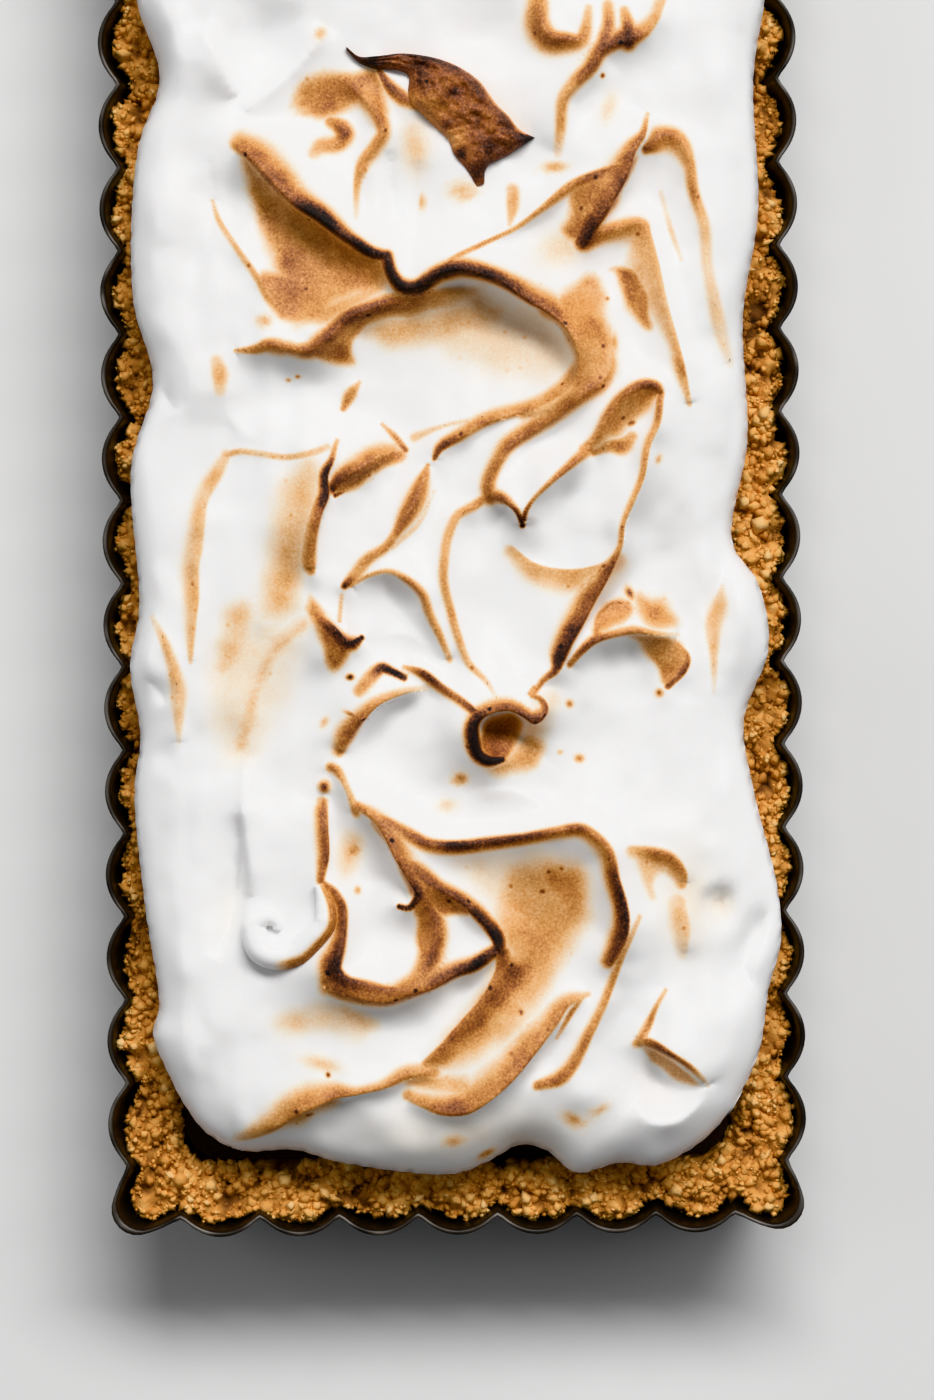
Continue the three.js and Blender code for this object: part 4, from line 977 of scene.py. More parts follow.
def loop_points(turns, inset, depth, radius):
    """Points round the tart, counterclockwise from the near left valley, one unit for each flute."""
    facing = np.where(turns < HALF_TURN, 1.0, -1.0)
    along = turns % HALF_TURN
    on_long = along >= SHORT_FLUTES + 1
    along = np.where(on_long, along - SHORT_FLUTES - 1, along)
    flutes = np.where(on_long, LONG_FLUTES, SHORT_FLUTES)
    half_width = TIN_WIDTH / 2 - inset
    half_length = TIN_LENGTH / 2 - inset
    run = np.where(on_long, half_length, half_width)
    side = np.where(on_long, half_width, half_length)
    reach = np.maximum(CORNER_REACH - inset, radius + 1)
    straight = reach - radius
    arc = radius * math.pi / 2
    walked = (along - flutes) * (2 * straight + arc)
    heading = np.clip((walked - straight) / radius, 0, math.pi / 2)
    on_corner = along > flutes
    round_forward = run - reach + np.minimum(walked, straight) + radius * np.sin(heading)
    round_outward = side - radius * (1 - np.cos(heading)) - np.maximum(walked - straight - arc, 0)
    forward = np.where(on_corner, round_forward, (run - reach) * (2 * along / flutes - 1))
    outward = np.where(on_corner, round_outward, side)
    across = 2 * (turns % 1) - 1
    foot = math.sqrt(LOBE_RADIUS**2 - 1)
    lobe = (np.sqrt(LOBE_RADIUS**2 - across**2) - foot) / (LOBE_RADIUS - foot)
    bump = (np.hypot(lobe, VALLEY_ROUND) - VALLEY_ROUND) / (math.hypot(1, VALLEY_ROUND) - VALLEY_ROUND)
    forward = forward - depth * (1 - bump) * np.sin(heading)
    outward = outward - depth * (1 - bump) * np.cos(heading)
    x = np.where(on_long, outward, forward) * facing
    y = np.where(on_long, forward, -outward) * facing
    return np.stack([x, y], axis=1)


def at_height(flat, height):
    """Points seen from above, lifted to a height."""
    return np.column_stack([flat, np.broadcast_to(height, len(flat))])


def turns_round(steps):
    """Places once round the tart, so many on each flute."""
    return np.arange(0, 2 * HALF_TURN, 1 / steps)


def hollow_ring(turns, inset, height):
    """Ring round the tart's hollow, without flutes."""
    return at_height(loop_points(turns, inset, 0, HOLLOW_RADIUS), height)


def tin_ring(turns, height, inset):
    """Fluted ring of the flared wall, moved in from its outer face."""
    flare = height / TIN_HEIGHT
    depth = FOOT_FLUTE_DEPTH + (RIM_FLUTE_DEPTH - FOOT_FLUTE_DEPTH) * flare
    return at_height(loop_points(turns, FOOT_INSET * (1 - flare) + inset, depth, CORNER_RADIUS), height)


def make_tin():
    """Thin fluted shell, lighter along its rim: partly wear, partly a painted highlight."""
    turns = turns_round(TIN_STEPS)
    points, faces = ring_body([tin_ring(turns, height, inset) for inset, height in TIN_SECTION])
    wear_and_glint = np.clip((points[:, 2] - WEAR_AND_GLINT_HEIGHT) / (TIN_HEIGHT - WEAR_AND_GLINT_HEIGHT), 0, 1)
    chips = value_noise(points, CHIP_SIZE, SEED + 1)
    add_piece("tin_shell", points, faces, tin_material(), "tin", {"rim": wear_and_glint * (0.3 + 0.7 * chips)})


# Crust

def crust_section(turns):
    """Rings of the crust from its foot up the tin's side, over the craggy top and down inside: x, y, z and
    the room that is left outside each point."""
    along = np.column_stack([turns, np.zeros(len(turns))])
    pull = lumps(along, 1.7, SEED + 2, 1.8) + lumps(along, 0.6, SEED + 3, 1.2)
    lift = lumps(along, 0.9, SEED + 4, 1.6)
    rings = [tin_ring(turns, height, CRUST_GAP) for height in CRUST_SIDE]
    rooms = [np.full(len(turns), CRUST_GAP - TIN_WALL)] * len(rings)
    for gap, share, height in CRUST_SHOULDER:
        ease = min(1, (gap - CRUST_GAP) / LOOSE_GAP)
        inset = FOOT_INSET * (1 - height / TIN_HEIGHT) + gap + pull * ease
        flat = loop_points(turns, inset, RIM_FLUTE_DEPTH * share, CORNER_RADIUS)
        rings.append(at_height(flat, height + lift * ease))
        rooms.append(np.maximum(gap + pull * ease - TIN_WALL, LEAST_ROOM))
    rings += [hollow_ring(turns, inset + 0.5 * pull, height + 0.6 * lift) for inset, height in CRUST_TOP]
    rings += [hollow_ring(turns, inset + 0.3 * pull, height) for inset, height in CRUST_INSIDE]
    rooms += [np.full(len(turns), FREE_ROOM)] * (len(rings) - len(rooms))
    return np.concatenate([np.array(rings), np.array(rooms)[..., None]], axis=2)


def refine(rings, times):
    """Adds rings between the given ones, so that they lie about as close as the points along them."""
    count = (len(rings) - 1) * times
    places = np.linspace(0, len(rings) - 1, count + 1)
    low = np.minimum(places.astype(int), len(rings) - 2)
    part = (places - low)[:, None, None]
    return rings[low] * (1 - part) + rings[low + 1] * part


def surface_normals(rings):
    """Outward directions at the points of a row of rings."""
    around = np.roll(rings, -1, axis=1) - np.roll(rings, 1, axis=1)
    across = np.gradient(rings, axis=0)
    normal = np.cross(around, across)
    return normal / np.maximum(np.linalg.norm(normal, axis=2, keepdims=True), 1e-9)


def make_crust(surface):
    """Crust with clumps, grains and crumbs raised on its upper part; returns its rings, how far each point is
    out of the pits (which also sets the painted shade in its crevices), and the room outside."""
    turns = turns_round(CRUST_STEPS)
    rings = refine(crust_section(turns), 2)
    rings, room = rings[..., :3], rings[..., 3]
    normal = surface_normals(rings).reshape(-1, 3)
    flat = rings.reshape(-1, 3)
    crooked = flat + lumps(flat, 3, SEED + 12, 2.5)[:, None]
    clumps, clump_tint = grain_noise(crooked, CLUMP_SIZE, SEED + 5)
    grains, grain_tint = grain_noise(flat, GRAIN_SIZE, SEED + 6)
    crumbs, crumb_tint = grain_noise(flat, CRUMB_SIZE, SEED + 7)
    outer = np.clip((OUTER_HEIGHT - flat[:, 2]) / OUTER_OVER, 0, 1)
    height = (CLUMP_RISE + OUTER_CLUMP_RISE * outer) * (clumps - 0.75)
    height = height + GRAIN_RISE * (grains - 0.6) + CRUMB_RISE * (crumbs - 0.6)
    show = np.clip((flat[:, 2] - RELIEF_FROM) / RELIEF_OVER, 0, 1)
    moved = flat + normal * np.minimum(height * show, room.ravel())[:, None]
    # Painted shade for the crevices: low in the gaps between clumps, grains and crumbs, high on their tops
    crevice_shade = np.clip(-0.1 + 0.5 * clumps + 0.45 * grains + 0.35 * crumbs, 0, 1.15)
    tint = 0.3 * clump_tint + 0.4 * grain_tint + 0.3 * crumb_tint
    points, faces = ring_body(list(moved.reshape(rings.shape)))
    add_piece("crust_shell", points, faces, surface, "crust", {"tint": tint, "crevice_shade": crevice_shade})
    return moved.reshape(rings.shape), crevice_shade.reshape(rings.shape[:2]), room


def make_crumbs(rings, crevice_shades, room, surface):
    """Loose crumbs, each one a crooked lump of eight faces, lying on the crust's clumps."""
    rng = np.random.default_rng(SEED + 8)
    count = len(CRUMB_CORNERS)
    points, faces, tint, crevice_shade = [], [], [], []
    while len(points) < CRUMB_COUNT:
        ring, turn = rng.integers(*CRUMB_RINGS), rng.integers(rings.shape[1])
        if crevice_shades[ring, turn] < 0.6 * rng.random():
            continue
        size = min(CRUMB_LEAST + CRUMB_MORE * rng.random() ** 2.5, 0.2 + 0.6 * room[ring, turn])
        crooked = 1 + 0.9 * (rng.random((count, 1)) - 0.5)
        shape = CRUMB_CORNERS * crooked * (0.7 + 0.6 * rng.random(3)) * size
        spin = rng.random() * 2 * math.pi
        across, along = math.cos(spin), math.sin(spin)
        spun = np.array([(across, -along, 0), (along, across, 0), (0, 0, 1)])
        faces.extend((CRUMB_SIDES + count * len(points)).tolist())
        points.append(shape @ spun + rings[ring, turn] + (0, 0, 0.15 * size))
        tint.extend([rng.random()] * count)
        # Crumbs that lie in the crust's gaps get the same painted crevice shade
        crevice_shade.extend([min(1.1, 0.25 + 0.9 * crevice_shades[ring, turn])] * count)
    add_piece("crust_crumbs", np.vstack(points), faces, surface, None,
              {"tint": np.array(tint), "crevice_shade": np.array(crevice_shade)})


# Filling

def make_filling():
    """Dark slab in the crust's hollow."""
    turns = turns_round(FILLING_STEPS)
    points, faces = ring_body([hollow_ring(turns, inset, height) for inset, height in FILLING_SECTION])
    add_piece("chocolate", points, faces, filling_material(), "filling")


# Marshmallow

def turned_round(line):
    """The same rows, turned half round about the tart's middle."""
    return [(-x, -y, *rest) for x, y, *rest in line]


def whole_edge(edge, other):
    """One long edge; its far part is the other one's near part, turned round."""
    far = turned_round([point for point in other if point[1] < FAR_LIMIT])[::-1]
    return smooth_line(list(edge) + far, CELLS_ALONG)


def coarse_sheet():
    """Flat triangles that fill the topping's outline, in rows that follow its four edges."""
    near = smooth_line(NEAR_EDGE, CELLS_ACROSS)
    far = smooth_line(turned_round(NEAR_EDGE)[::-1], CELLS_ACROSS)
    left = whole_edge(LEFT_EDGE, RIGHT_EDGE)
    right = whole_edge(RIGHT_EDGE, LEFT_EDGE)
    u = np.linspace(0, 1, CELLS_ACROSS + 1)[None, :, None]
    v = np.linspace(0, 1, CELLS_ALONG + 1)[:, None, None]
    grid = (1 - v) * near[None] + v * far[None] + (1 - u) * left[:, None] + u * right[:, None]
    grid = grid - (1 - u) * (1 - v) * near[0] - u * (1 - v) * near[-1]
    grid = grid - (1 - u) * v * far[0] - u * v * far[-1]
    row = CELLS_ACROSS + 1
    first = (np.arange(CELLS_ALONG)[:, None] * row + np.arange(CELLS_ACROSS)[None]).ravel()
    lower = np.stack([first, first + 1, first + row + 1], axis=1)
    upper = np.stack([first, first + row + 1, first + row], axis=1)
    return grid.reshape(-1, 2), np.vstack([lower, upper])


def halve(points, triangles, wanted, settle):
    """Cuts the wanted triangles across their longest edges, and whatever their neighbours need to match."""
    count = np.arange(len(triangles))
    pairs = np.sort(triangles[:, [[1, 2], [2, 0], [0, 1]]], axis=2).reshape(-1, 2)
    keys, number = np.unique(pairs[:, 0] * len(points) + pairs[:, 1], return_inverse=True)
    ends = np.stack([keys // len(points), keys % len(points)], axis=1)
    number = number.reshape(-1, 3)
    length = np.linalg.norm(points[ends[:, 0]] - points[ends[:, 1]], axis=1)
    longest = length[number].argmax(axis=1)
    base = number[count, longest]
    marked = np.zeros(len(ends), dtype=bool)
    marked[base[wanted]] = True
    while True:
        open_bases = base[marked[number].any(axis=1) & ~marked[base]]
        if len(open_bases) == 0:
            break
        marked[open_bases] = True
    middle = np.full(len(ends), -1)
    middle[marked] = len(points) + np.arange(marked.sum())
    points = np.vstack([points, settle(points[ends[marked]].mean(axis=1), length[marked])])
    order = (longest[:, None] + np.arange(3)) % 3
    apex, start, end = triangles[count[:, None], order].T
    on_base, on_end, on_start = middle[number[count[:, None], order]].T
    cut = on_base >= 0
    start_cut, end_cut = cut & (on_start >= 0), cut & (on_end >= 0)
    start_whole, end_whole = cut & (on_start < 0), cut & (on_end < 0)
    pieces = [triangles[~cut]]
    pieces.append(np.stack([apex, start, on_base], axis=1)[start_whole])
    pieces.append(np.stack([apex, on_start, on_base], axis=1)[start_cut])
    pieces.append(np.stack([on_start, start, on_base], axis=1)[start_cut])
    pieces.append(np.stack([apex, on_base, end], axis=1)[end_whole])
    pieces.append(np.stack([apex, on_base, on_end], axis=1)[end_cut])
    pieces.append(np.stack([on_end, on_base, end], axis=1)[end_cut])
    return points, np.vstack(pieces)


def search_tree(places):
    """Tree that finds the nearest of many flat places."""
    tree = kdtree.KDTree(len(places))
    for k, (x, y) in enumerate(places):
        tree.insert((x, y, 0), k)
    tree.balance()
    return tree


def crest_places():
    """Places along the toasted crests and at the small spots, and how thin the toasting is at each one."""
    lines = [smooth_line(line, step=0.2) for kind, rise, line in all_crests() if max(row[4] for row in line)]
    rows = [np.column_stack([line[:, :2], line[:, 2:4].min(axis=1)]) for line in lines]
    rows.append([(x, y, width) for x, y, length, width, *_ in all_patches() if width < SMALL_SPOT])
    places = np.vstack(rows)
    return places[:, :2], np.clip(places[:, 2], *THIN_LIMITS)


def outline_places():
    """Places along the white crests and furrows and along the outlines of the crisp toasted areas."""
    white = [line for kind, rise, line in all_crests() if kind != "soft" and not max(row[4] for row in line)]
    crisp = [rounded(outline) for toast, soft, outline in all_areas() if soft <= CRISP_SOFT]
    lines = white + [np.vstack([outline, outline[:1]]) for outline in crisp]
    return np.vstack([smooth_line(line, step=0.3)[:, :2] for line in lines])


def fine_sheet():
    """The flat sheet with small triangles along the crests, smallest in the near part."""
    points, triangles = coarse_sheet()
    places, thin = crest_places()
    tree = search_tree(places)
    outlines = search_tree(outline_places())

    def onto_crests(middles, lengths):
        """New points, moved onto a crest where one passes close by."""
        moved = middles.copy()
        for k, (x, y) in enumerate(middles):
            place, _, gap = tree.find((x, y, 0))
            if gap < PULL_SHARE * lengths[k]:
                moved[k] = place[:2]
        return moved

    for _ in range(FINE_STEPS):
        corners = points[triangles]
        first, second = corners[:, 1] - corners[:, 0], corners[:, 2] - corners[:, 0]
        area = 0.5 * np.abs(first[:, 0] * second[:, 1] - first[:, 1] * second[:, 0])
        middle = corners.mean(axis=1)
        found = [tree.find((x, y, 0)) for x, y in middle]
        gap = np.array([gap for _, _, gap in found])
        wanted = np.interp(gap, FINE_GAPS, FINE_AREAS) * thin[[k for _, k, _ in found]] / THIN_LIMITS[1]
        gap = OUTLINE_GAP + np.array([outlines.find((x, y, 0))[2] for x, y in middle])
        wanted = np.minimum(wanted, np.interp(gap, FINE_GAPS, FINE_AREAS))
        wanted = wanted * np.where(middle[:, 1] < NEAR_PART, 1, FAR_COARSER)
        points, triangles = halve(points, triangles, area > wanted, onto_crests)
    return points, triangles


def border_loop(triangles):
    """Numbers of the points on the sheet's border, counterclockwise."""
    size = triangles.max() + 1
    starts, ends = triangles.ravel(), triangles[:, [1, 2, 0]].ravel()
    alone = ~np.isin(starts * size + ends, ends * size + starts)
    after = dict(zip(starts[alone].tolist(), ends[alone].tolist()))
    loop = [min(after)]
    while after[loop[-1]] != loop[0]:
        loop.append(after[loop[-1]])
    return np.array(loop)


def squared_gaps(flat, places):
    """Squared distance of every point to every place."""
    return (flat[:, 0:1] - places[None, :, 0]) ** 2 + (flat[:, 1:2] - places[None, :, 1]) ** 2


def edge_distance(flat, border):
    """Distance to the outline, rounded off where two parts of the outline are equally near."""
    closed = np.vstack([border, border[:1]])
    walked = lengths_along(closed)
    stops = np.linspace(0, walked[-1], int(walked[-1] / EDGE_STEP), endpoint=False)
    border = rows_at(stops, walked, closed)
    distance = np.zeros(len(flat))
    for start in range(0, len(flat), CHUNK):
        squared = squared_gaps(flat[start:start + CHUNK], border)
        pull = (np.maximum(squared, 1e-6) ** -3).sum(axis=1) * EDGE_STEP
        distance[start:start + CHUNK] = (pull * 8 / (3 * math.pi)) ** -0.2
    return np.minimum(distance, EDGE_WIDTH)


def all_crests():
    """Every crest; those of the near part come again, turned round, at the far end."""
    for kind, rise, rows in CRESTS.values():
        line = [(*row, *UNTOASTED)[:5] for row in rows]
        yield kind, rise, line
        if max(row[1] for row in line) < FAR_LIMIT:
            yield kind, rise, turned_round(line)


def all_patches():
    """Every patch, repeated like the crests."""
    for patch in PATCHES.values():
        yield patch
        if patch[1] < FAR_LIMIT:
            yield (-patch[0], -patch[1], *patch[2:])


def all_areas():
    """Every toasted area, repeated like the crests."""
    for toast, soft, outline in AREAS.values():
        yield toast, soft, outline
        if max(y for _, y in outline) < FAR_LIMIT:
            yield toast, soft, turned_round(outline)


def near_box(flat, places, reach):
    """Numbers of the points in the box round the places, widened by the reach."""
    low, high = places.min(axis=0) - reach, places.max(axis=0) + reach
    return np.nonzero(np.all((flat > low) & (flat < high), axis=1))[0]


def lay_crest(flat, kind, rise, line, top):
    """Adds one crest to the running relief, sideways shift and toasted line of the top."""
    left_fall, right_fall, lean = KINDS[kind]
    rows = smooth_line(line)
    path = rows[:, :2]
    left_reach, right_reach, toast = np.clip(rows[:, 2:], *REACH_LIMITS).T
    to_left = left_of(path)
    arch = np.sqrt(np.sin(math.pi * np.linspace(0, 1, len(path))))
    ends = np.clip(np.linspace(toast[0], toast[-1], len(path)), *END_SHARES)
    share = arch**2 if rise < 0 else ends + (1 - ends) * arch
    lean = lean * arch**2
    path = path - to_left * lean[:, None]
    near = near_box(flat, path, CREST_REACH)
    squared = squared_gaps(flat[near], path) + 1e-4
    least = squared.min(axis=1, keepdims=True)
    weight = (least / squared) ** NEAREST_POWER
    weight /= weight.sum(axis=1, keepdims=True)
    side = (flat[near] @ to_left.T - (path * to_left).sum(axis=1)) / np.sqrt(squared)
    leftness = 0.5 + 0.5 * (weight * side * arch).sum(axis=1)
    gap = np.sqrt(least[:, 0])
    distance = np.hypot(gap, CREST_ROUND) - CREST_ROUND
    profile = np.exp(-distance / (right_fall + (left_fall - right_fall) * leftness)) * (weight @ share)
    if rise < 0:
        top["dip"][near] += rise * profile
    else:
        top["relief"][near] += (rise * profile) ** BLEND_POWER
        top["shift"][near] += (weight @ (to_left * lean[:, None])) * (profile**2)[:, None]
    leftness = 0.5 + 0.5 * (weight * side).sum(axis=1)
    reach = weight @ right_reach + (weight @ (left_reach - right_reach)) * leftness
    strength, ratio = weight @ toast, gap / reach
    present = top["line_toast"][near] * np.exp(-top["line_gap"][near] ** LINE_SHARPNESS)
    stronger = strength * np.exp(-ratio**LINE_SHARPNESS) > present
    chosen = near[stronger]
    top["line_toast"][chosen] = strength[stronger]
    top["line_gap"][chosen] = np.minimum(ratio[stronger], NO_LINE)


def lay_patch(flat, patch, top):
    """Adds one oval spot: toasting where it is positive, a pale hole where it is negative, and its rise."""
    x, y, length, width, turn, toast, rise = patch
    angle = math.radians(turn)
    away = flat - (x, y)
    along = away[:, 0] * math.cos(angle) + away[:, 1] * math.sin(angle)
    across = away[:, 1] * math.cos(angle) - away[:, 0] * math.sin(angle)
    fade = np.exp(-((along / length) ** 2 + (across / width) ** 2))
    top["dip"] += rise * fade
    if toast < 0:
        top["toast"] *= 1 + toast * fade
    else:
        top["toast"] = np.maximum(top["toast"], toast * fade)


def outline_depth(flat, outline):
    """Distance of each point from a closed outline, positive inside it."""
    start = outline
    step = np.roll(start, -1, axis=0) - start
    away = flat[:, None] - start[None]
    along = np.clip((away * step).sum(axis=2) / (step**2).sum(axis=1), 0, 1)
    distance = np.linalg.norm(away - along[..., None] * step, axis=2).min(axis=1)
    end = start + step
    spans = (start[:, 1] > flat[:, 1:2]) != (end[:, 1] > flat[:, 1:2])
    rise = np.where(np.abs(step[:, 1]) < 1e-9, 1e-9, step[:, 1])
    crosses = start[:, 0] + (flat[:, 1:2] - start[:, 1]) / rise * step[:, 0]
    inside = (spans & (flat[:, 0:1] < crosses)).sum(axis=1) % 2 == 1
    return np.where(inside, distance, -distance)


def rounded(outline):
    """The outline with its corners cut twice."""
    corners = np.array(outline, dtype=float)
    for _ in range(2):
        after = np.roll(corners, -1, axis=0)
        pairs = np.stack([0.75 * corners + 0.25 * after, 0.25 * corners + 0.75 * after], axis=1)
        corners = pairs.reshape(-1, 2)
    return corners


def lay_area(flat, toast, soft, outline, top):
    """Adds one toasted area, with a soft and slightly ragged edge."""
    corners = rounded(outline)
    near = near_box(flat, corners, AREA_REACH)
    if len(near) == 0:
        return
    depth = outline_depth(flat[near], corners) + lumps(flat[near], 2.4, SEED + 13, 0.9)
    cover = eased(np.clip(depth / (1.4 * soft) + 0.45, 0, 1))
    top["toast"][near] = np.maximum(top["toast"][near], toast * cover)


def dressed_top(flat):
    """Relief, dips, sideways shift and toasting of the sheet's points, from all crests, areas and patches."""
    count = len(flat)
    top = {key: np.zeros(count) for key in ("relief", "dip", "toast", "line_toast")}
    top["shift"] = np.zeros((count, 2))
    top["line_gap"] = np.full(count, float(NO_LINE))
    for crest in all_crests():
        lay_crest(flat, *crest, top)
    for area in all_areas():
        lay_area(flat, *area, top)
    for patch in all_patches():
        lay_patch(flat, patch, top)
    return top


def gentle_waves(flat):
    """Low swells, ripples and lengthwise streaks that run over the whole topping."""
    x, y = flat.T
    swell = SWELL * (np.sin(x * 0.11 + 1.3) * np.cos(y * 0.083 + 0.4) + 0.6 * np.sin(x * 0.05 - y * 0.12))
    ripple = lumps(flat, 7, SEED + 9, 1.4) + lumps(flat, 3, SEED + 10, 0.4)
    streaks = lumps(flat * (1, STREAK_SHARE), STREAK_WIDTH, SEED + 17, 1)
    outer = np.clip((np.abs(x) - STREAK_START) / STREAK_OVER, 0, 1)
    return swell + (ripple + streaks * (0.5 + 0.4 * outer))


def close_below(upper, triangles, border):
    """Points and faces of the sheet with its edge turned in and closed below."""
    outline = upper[border]
    after, before = np.roll(outline, -1, axis=0), np.roll(outline, 1, axis=0)
    inside = unit(np.column_stack([before[:, 1] - after[:, 1], after[:, 0] - before[:, 0]]))
    rings = []
    for depth, drop in UNDERSIDE:
        rings.append(np.column_stack([outline[:, :2] + inside * depth, outline[:, 2] - drop]))
    size = len(border)
    faces = triangles.tolist()
    loops = [border] + [len(upper) + k * size + np.arange(size) for k in range(len(rings))]
    for higher, lower in zip(loops, loops[1:]):
        faces += np.stack([lower, np.roll(lower, -1), np.roll(higher, -1), higher], axis=1).tolist()
    faces.append(loops[-1][::-1].tolist())
    return np.vstack([upper] + rings), faces


def make_marshmallow(surface):
    """The whole topping as one closed piece; returns the points of its upper side."""
    flat, triangles = fine_sheet()
    border = border_loop(triangles)
    width = np.interp(np.abs(flat[:, 1]), SIDE_ENDS, (SIDE_EDGE_WIDTH, EDGE_WIDTH))
    inward = np.minimum(edge_distance(flat, flat[border]) / width, 1)
    top = dressed_top(flat)
    settle = eased(np.clip(inward / 0.5, 0, 1))
    height = EDGE_HEIGHT + BODY_RISE * np.sqrt(1 - (1 - inward) ** 2)
    height = height + settle * (top["relief"] ** (1 / BLEND_POWER) + top["dip"] + gentle_waves(flat))
    flat = flat + top["shift"] * settle[:, None]
    mottle = 0.8 + 0.4 * value_noise(flat, 3.1, SEED + 11)
    upper = np.column_stack([flat, height])
    points, faces = close_below(upper, triangles, border)
    below = np.zeros(len(points) - len(upper))
    add_piece("marshmallow_top", points, faces, surface, "marshmallow",
              {"toast": np.concatenate([top["toast"] * mottle, below]),
               "line_toast": np.concatenate([top["line_toast"] * mottle, below]),
               "line_gap": np.concatenate([top["line_gap"], below + NO_LINE])})
    return upper


def heights_under(upper, flat):
    """Height of the topping under each of the given places."""
    tree = search_tree(upper[:, :2])
    return np.array([upper[tree.find((x, y, 0))[1], 2] for x, y in flat])


def plain_toast(toast):
    """What the toasted material reads, for a piece without crest lines."""
    none = np.zeros(len(toast))
    return {"toast": toast, "line_toast": none, "line_gap": none + NO_LINE}


def flap_plan(walked, across):
    """The flap's grid seen from above, with its free end hollowed."""
    edges = smooth_line(FLAP, FLAP_ROWS - 1, places=4)
    flat = edges[:, None, :2] * (1 - across)[..., None] + edges[:, None, 2:] * across[..., None]
    end = edges[-1, 2:] - edges[-1, :2]
    inward = np.array([end[1], -end[0]]) / np.linalg.norm(end)
    notch = np.interp(across, *FLAP_NOTCH) * np.clip((walked - 0.8) / 0.2, 0, 1) ** 2
    return (flat + notch[..., None] * inward).reshape(-1, 2)


def flap_lift(flat, walked, across):
    """How far the flap's upper side stands above the topping."""
    thick = np.interp(walked, *FLAP_THICK)
    side = (1 - np.abs(2 * across - 1) ** 3) ** 0.6
    finish = (1 - np.clip((walked - 0.93) / 0.07, 0, 1) ** 3) ** 0.5
    length = np.repeat(walked[:, 0], FLAP_COLUMNS) * FLAP_LENGTH
    width = np.tile(across[0], FLAP_ROWS) * FLAP_WIDTH
    wrinkles = lumps(np.column_stack([length * 0.45, width]), 0.8, SEED + 14, 0.7)
    wrinkles = wrinkles + lumps(flat, 0.9, SEED + 18, 0.9) * (1.2 - width / FLAP_WIDTH)
    wrinkles = wrinkles + lumps(flat, 2.6, SEED + 15, 1.4)
    wrinkles = wrinkles.reshape(FLAP_ROWS, FLAP_COLUMNS) * np.clip(walked / 0.3, 0, 1)
    return ((thick * (1.15 - 0.4 * across) + wrinkles) * side * (0.25 + 0.75 * finish)).ravel()


def flap_toast(flat, walked, across):
    """Toasting of the flap: dark at the stem, the tips and the spots, paler at the lower edge, with a painted
    highlight as a thin pale line along the upper edge.
    """
    toast = 0.55 + lumps(flat, 2.2, SEED + 16, 0.14).reshape(FLAP_ROWS, FLAP_COLUMNS)
    toast = toast + 0.24 * (1 - np.clip(walked / 0.65, 0, 1)) + 0.14 * np.clip((walked - 0.82) / 0.15, 0, 1)
    # A dark band near the upper edge, with a painted highlight as a thin pale line on the edge itself
    toast = toast + 0.16 * np.exp(-((across - 0.12) / 0.1) ** 2) - 0.3 * np.exp(-(across / 0.04) ** 2)
    toast = toast - 0.14 * np.exp(-((1 - across) / 0.2) ** 2) * np.clip((walked - 0.3) / 0.1, 0, 1)
    toast = toast.ravel()
    for x, y, size, extra in FLAP_SPOTS:
        toast = toast + extra * np.exp(-((flat[:, 0] - x) ** 2 + (flat[:, 1] - y) ** 2) / size**2)
    return toast


def slab_faces(rows, columns):
    """Faces of a slab: a grid above, the same grid below, and a rim between them."""
    count = rows * columns
    first = (np.arange(rows - 1)[:, None] * columns + np.arange(columns - 1)[None]).ravel()
    under = first + count
    faces = np.stack([first, first + columns, first + columns + 1, first + 1], axis=1).tolist()
    faces += np.stack([under, under + 1, under + columns + 1, under + columns], axis=1).tolist()
    grid = np.arange(count).reshape(rows, columns)
    rim = np.concatenate([grid[0, :-1], grid[:-1, -1], grid[-1, :0:-1], grid[:0:-1, 0]])
    after = np.roll(rim, -1)
    return faces + np.stack([rim, after, after + count, rim + count], axis=1).tolist()


def make_flap(upper, surface):
    """Brown slab that has curled up: a thin stem, a thick wrinkled body and a hollowed end with two tips."""
    walked = np.linspace(0, 1, FLAP_ROWS)[:, None]
    across = np.linspace(0, 1, FLAP_COLUMNS)[None]
    flat = flap_plan(walked, across)
    ground = heights_under(upper, flat)
    top = np.column_stack([flat, ground + flap_lift(flat, walked, across) + 0.1])
    bottom = np.column_stack([flat, ground - 0.8])
    toast = flap_toast(flat, walked, across)
    both = np.clip(np.concatenate([toast, toast + 0.1]), 0, 1)
    points, faces = np.vstack([top, bottom]), slab_faces(FLAP_ROWS, FLAP_COLUMNS)
    add_piece("marshmallow_flap", points, faces, surface, None, plain_toast(both))


def make_roll(upper, surface):
    """The tongue's end, rolled up like a snail."""
    path = smooth_line(ROLL, ROLL_STEPS)
    walked = np.linspace(0, 1, len(path))
    outward = left_of(path)
    ground = heights_under(upper, path)
    middle = len(path) // 2
    ground = np.interp(walked, (0, 0.2, 0.5, 1), ground[[0, len(path) // 5, middle, middle]])
    width, tall = np.interp(walked, *ROLL_WIDTH), np.interp(walked, *ROLL_TALL)
    base = ground + np.interp(walked, *ROLL_BASE)
    turn = np.linspace(0, 2 * math.pi, ROLL_TURNS, endpoint=False)
    rings = []
    for k in range(len(path)):
        flat = path[k] + outward[k] * (width[k] * np.cos(turn))[:, None]
        rings.append(np.column_stack([flat, base[k] + tall[k] * np.sin(turn)]))
    points, faces = ring_body(rings)
    outer = np.tile(np.cos(turn), len(path))
    toast = np.interp(np.repeat(walked, len(turn)), *ROLL_TOAST) * np.clip((outer - 0.1) / 0.35, 0, 1)
    add_piece("marshmallow_roll", points, faces, surface, None, plain_toast(toast))


# Stage

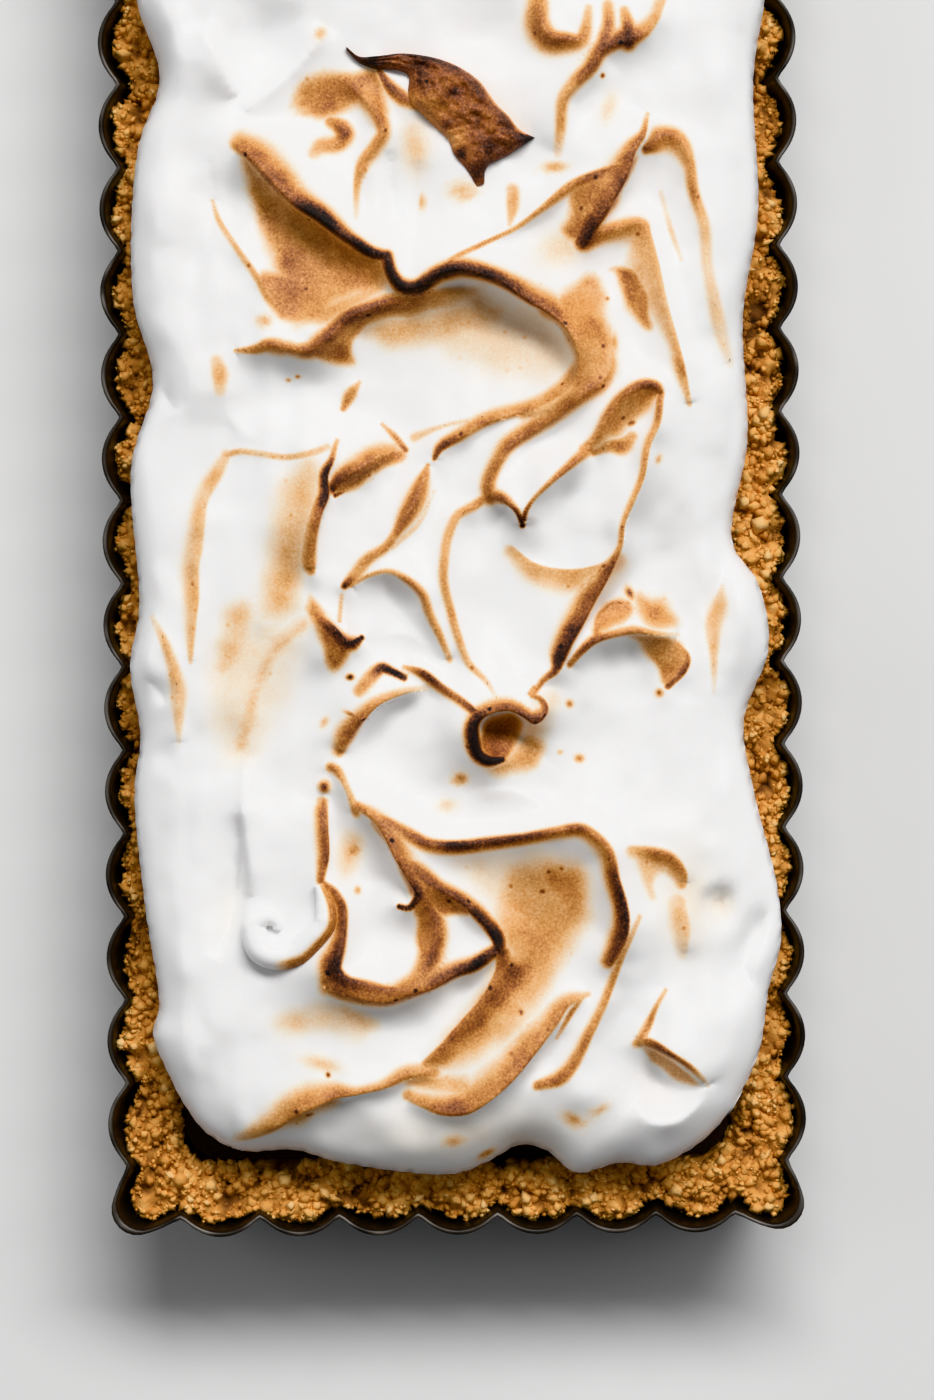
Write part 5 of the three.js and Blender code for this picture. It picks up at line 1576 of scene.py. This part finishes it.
def make_stage():
    """Pale table under the tart."""
    mesh = bpy.data.meshes.new("floor")
    corners = [(-1, -1, 0), (1, -1, 0), (1, 1, 0), (-1, 1, 0)]
    mesh.from_pydata((np.array(corners) * FLOOR_HALF).tolist(), [], [(0, 1, 2, 3)])
    mesh.materials.append(floor_material())
    floor = bpy.data.objects.new("floor", mesh)
    bpy.context.scene.collection.objects.link(floor)


def add_area_light(name, place, width, height, power, colour):
    """Soft oval lamp that points at the tart."""
    light = bpy.data.lights.new(name, "AREA")
    light.shape = "ELLIPSE"
    light.size, light.size_y = width, height
    light.energy = power
    light.color = colour
    lamp = bpy.data.objects.new(name, light)
    lamp.location = place
    direction = np.array(LIGHT_TARGET) - np.array(place)
    pitch = math.acos(-direction[2] / np.linalg.norm(direction))
    lamp.rotation_euler = (pitch, 0, math.atan2(direction[1], direction[0]) - math.pi / 2)
    bpy.context.scene.collection.objects.link(lamp)


def make_light():
    """Lamps, dim surroundings and the view transform."""
    for name, lamp in LAMPS.items():
        add_area_light(name, *lamp)
    world = bpy.data.worlds.new("studio")
    world.use_nodes = True
    back = world.node_tree.nodes["Background"]
    back.inputs["Color"].default_value = (*COOL_WHITE, 1)
    back.inputs["Strength"].default_value = SKY_STRENGTH
    bpy.context.scene.world = world
    bpy.context.scene.view_settings.view_transform = "Khronos PBR Neutral"


def make_camera():
    """Overhead camera over the near half, turned by the small tilt of the tart in the picture."""
    camera = bpy.data.cameras.new("camera")
    camera.lens = CAMERA_LENS
    camera.sensor_width = CAMERA_SENSOR
    eye = bpy.data.objects.new("camera", camera)
    eye.location = CAMERA_PLACE
    eye.rotation_euler = (0, 0, math.radians(CAMERA_TURN))
    bpy.context.scene.collection.objects.link(eye)
    bpy.context.scene.camera = eye


make_camera()
make_light()
make_stage()
make_tin()
crumb = crust_material()
make_crumbs(*make_crust(crumb), crumb)
make_filling()
toasted = marshmallow_material()
topping = make_marshmallow(toasted)
make_flap(topping, toasted)
make_roll(topping, toasted)
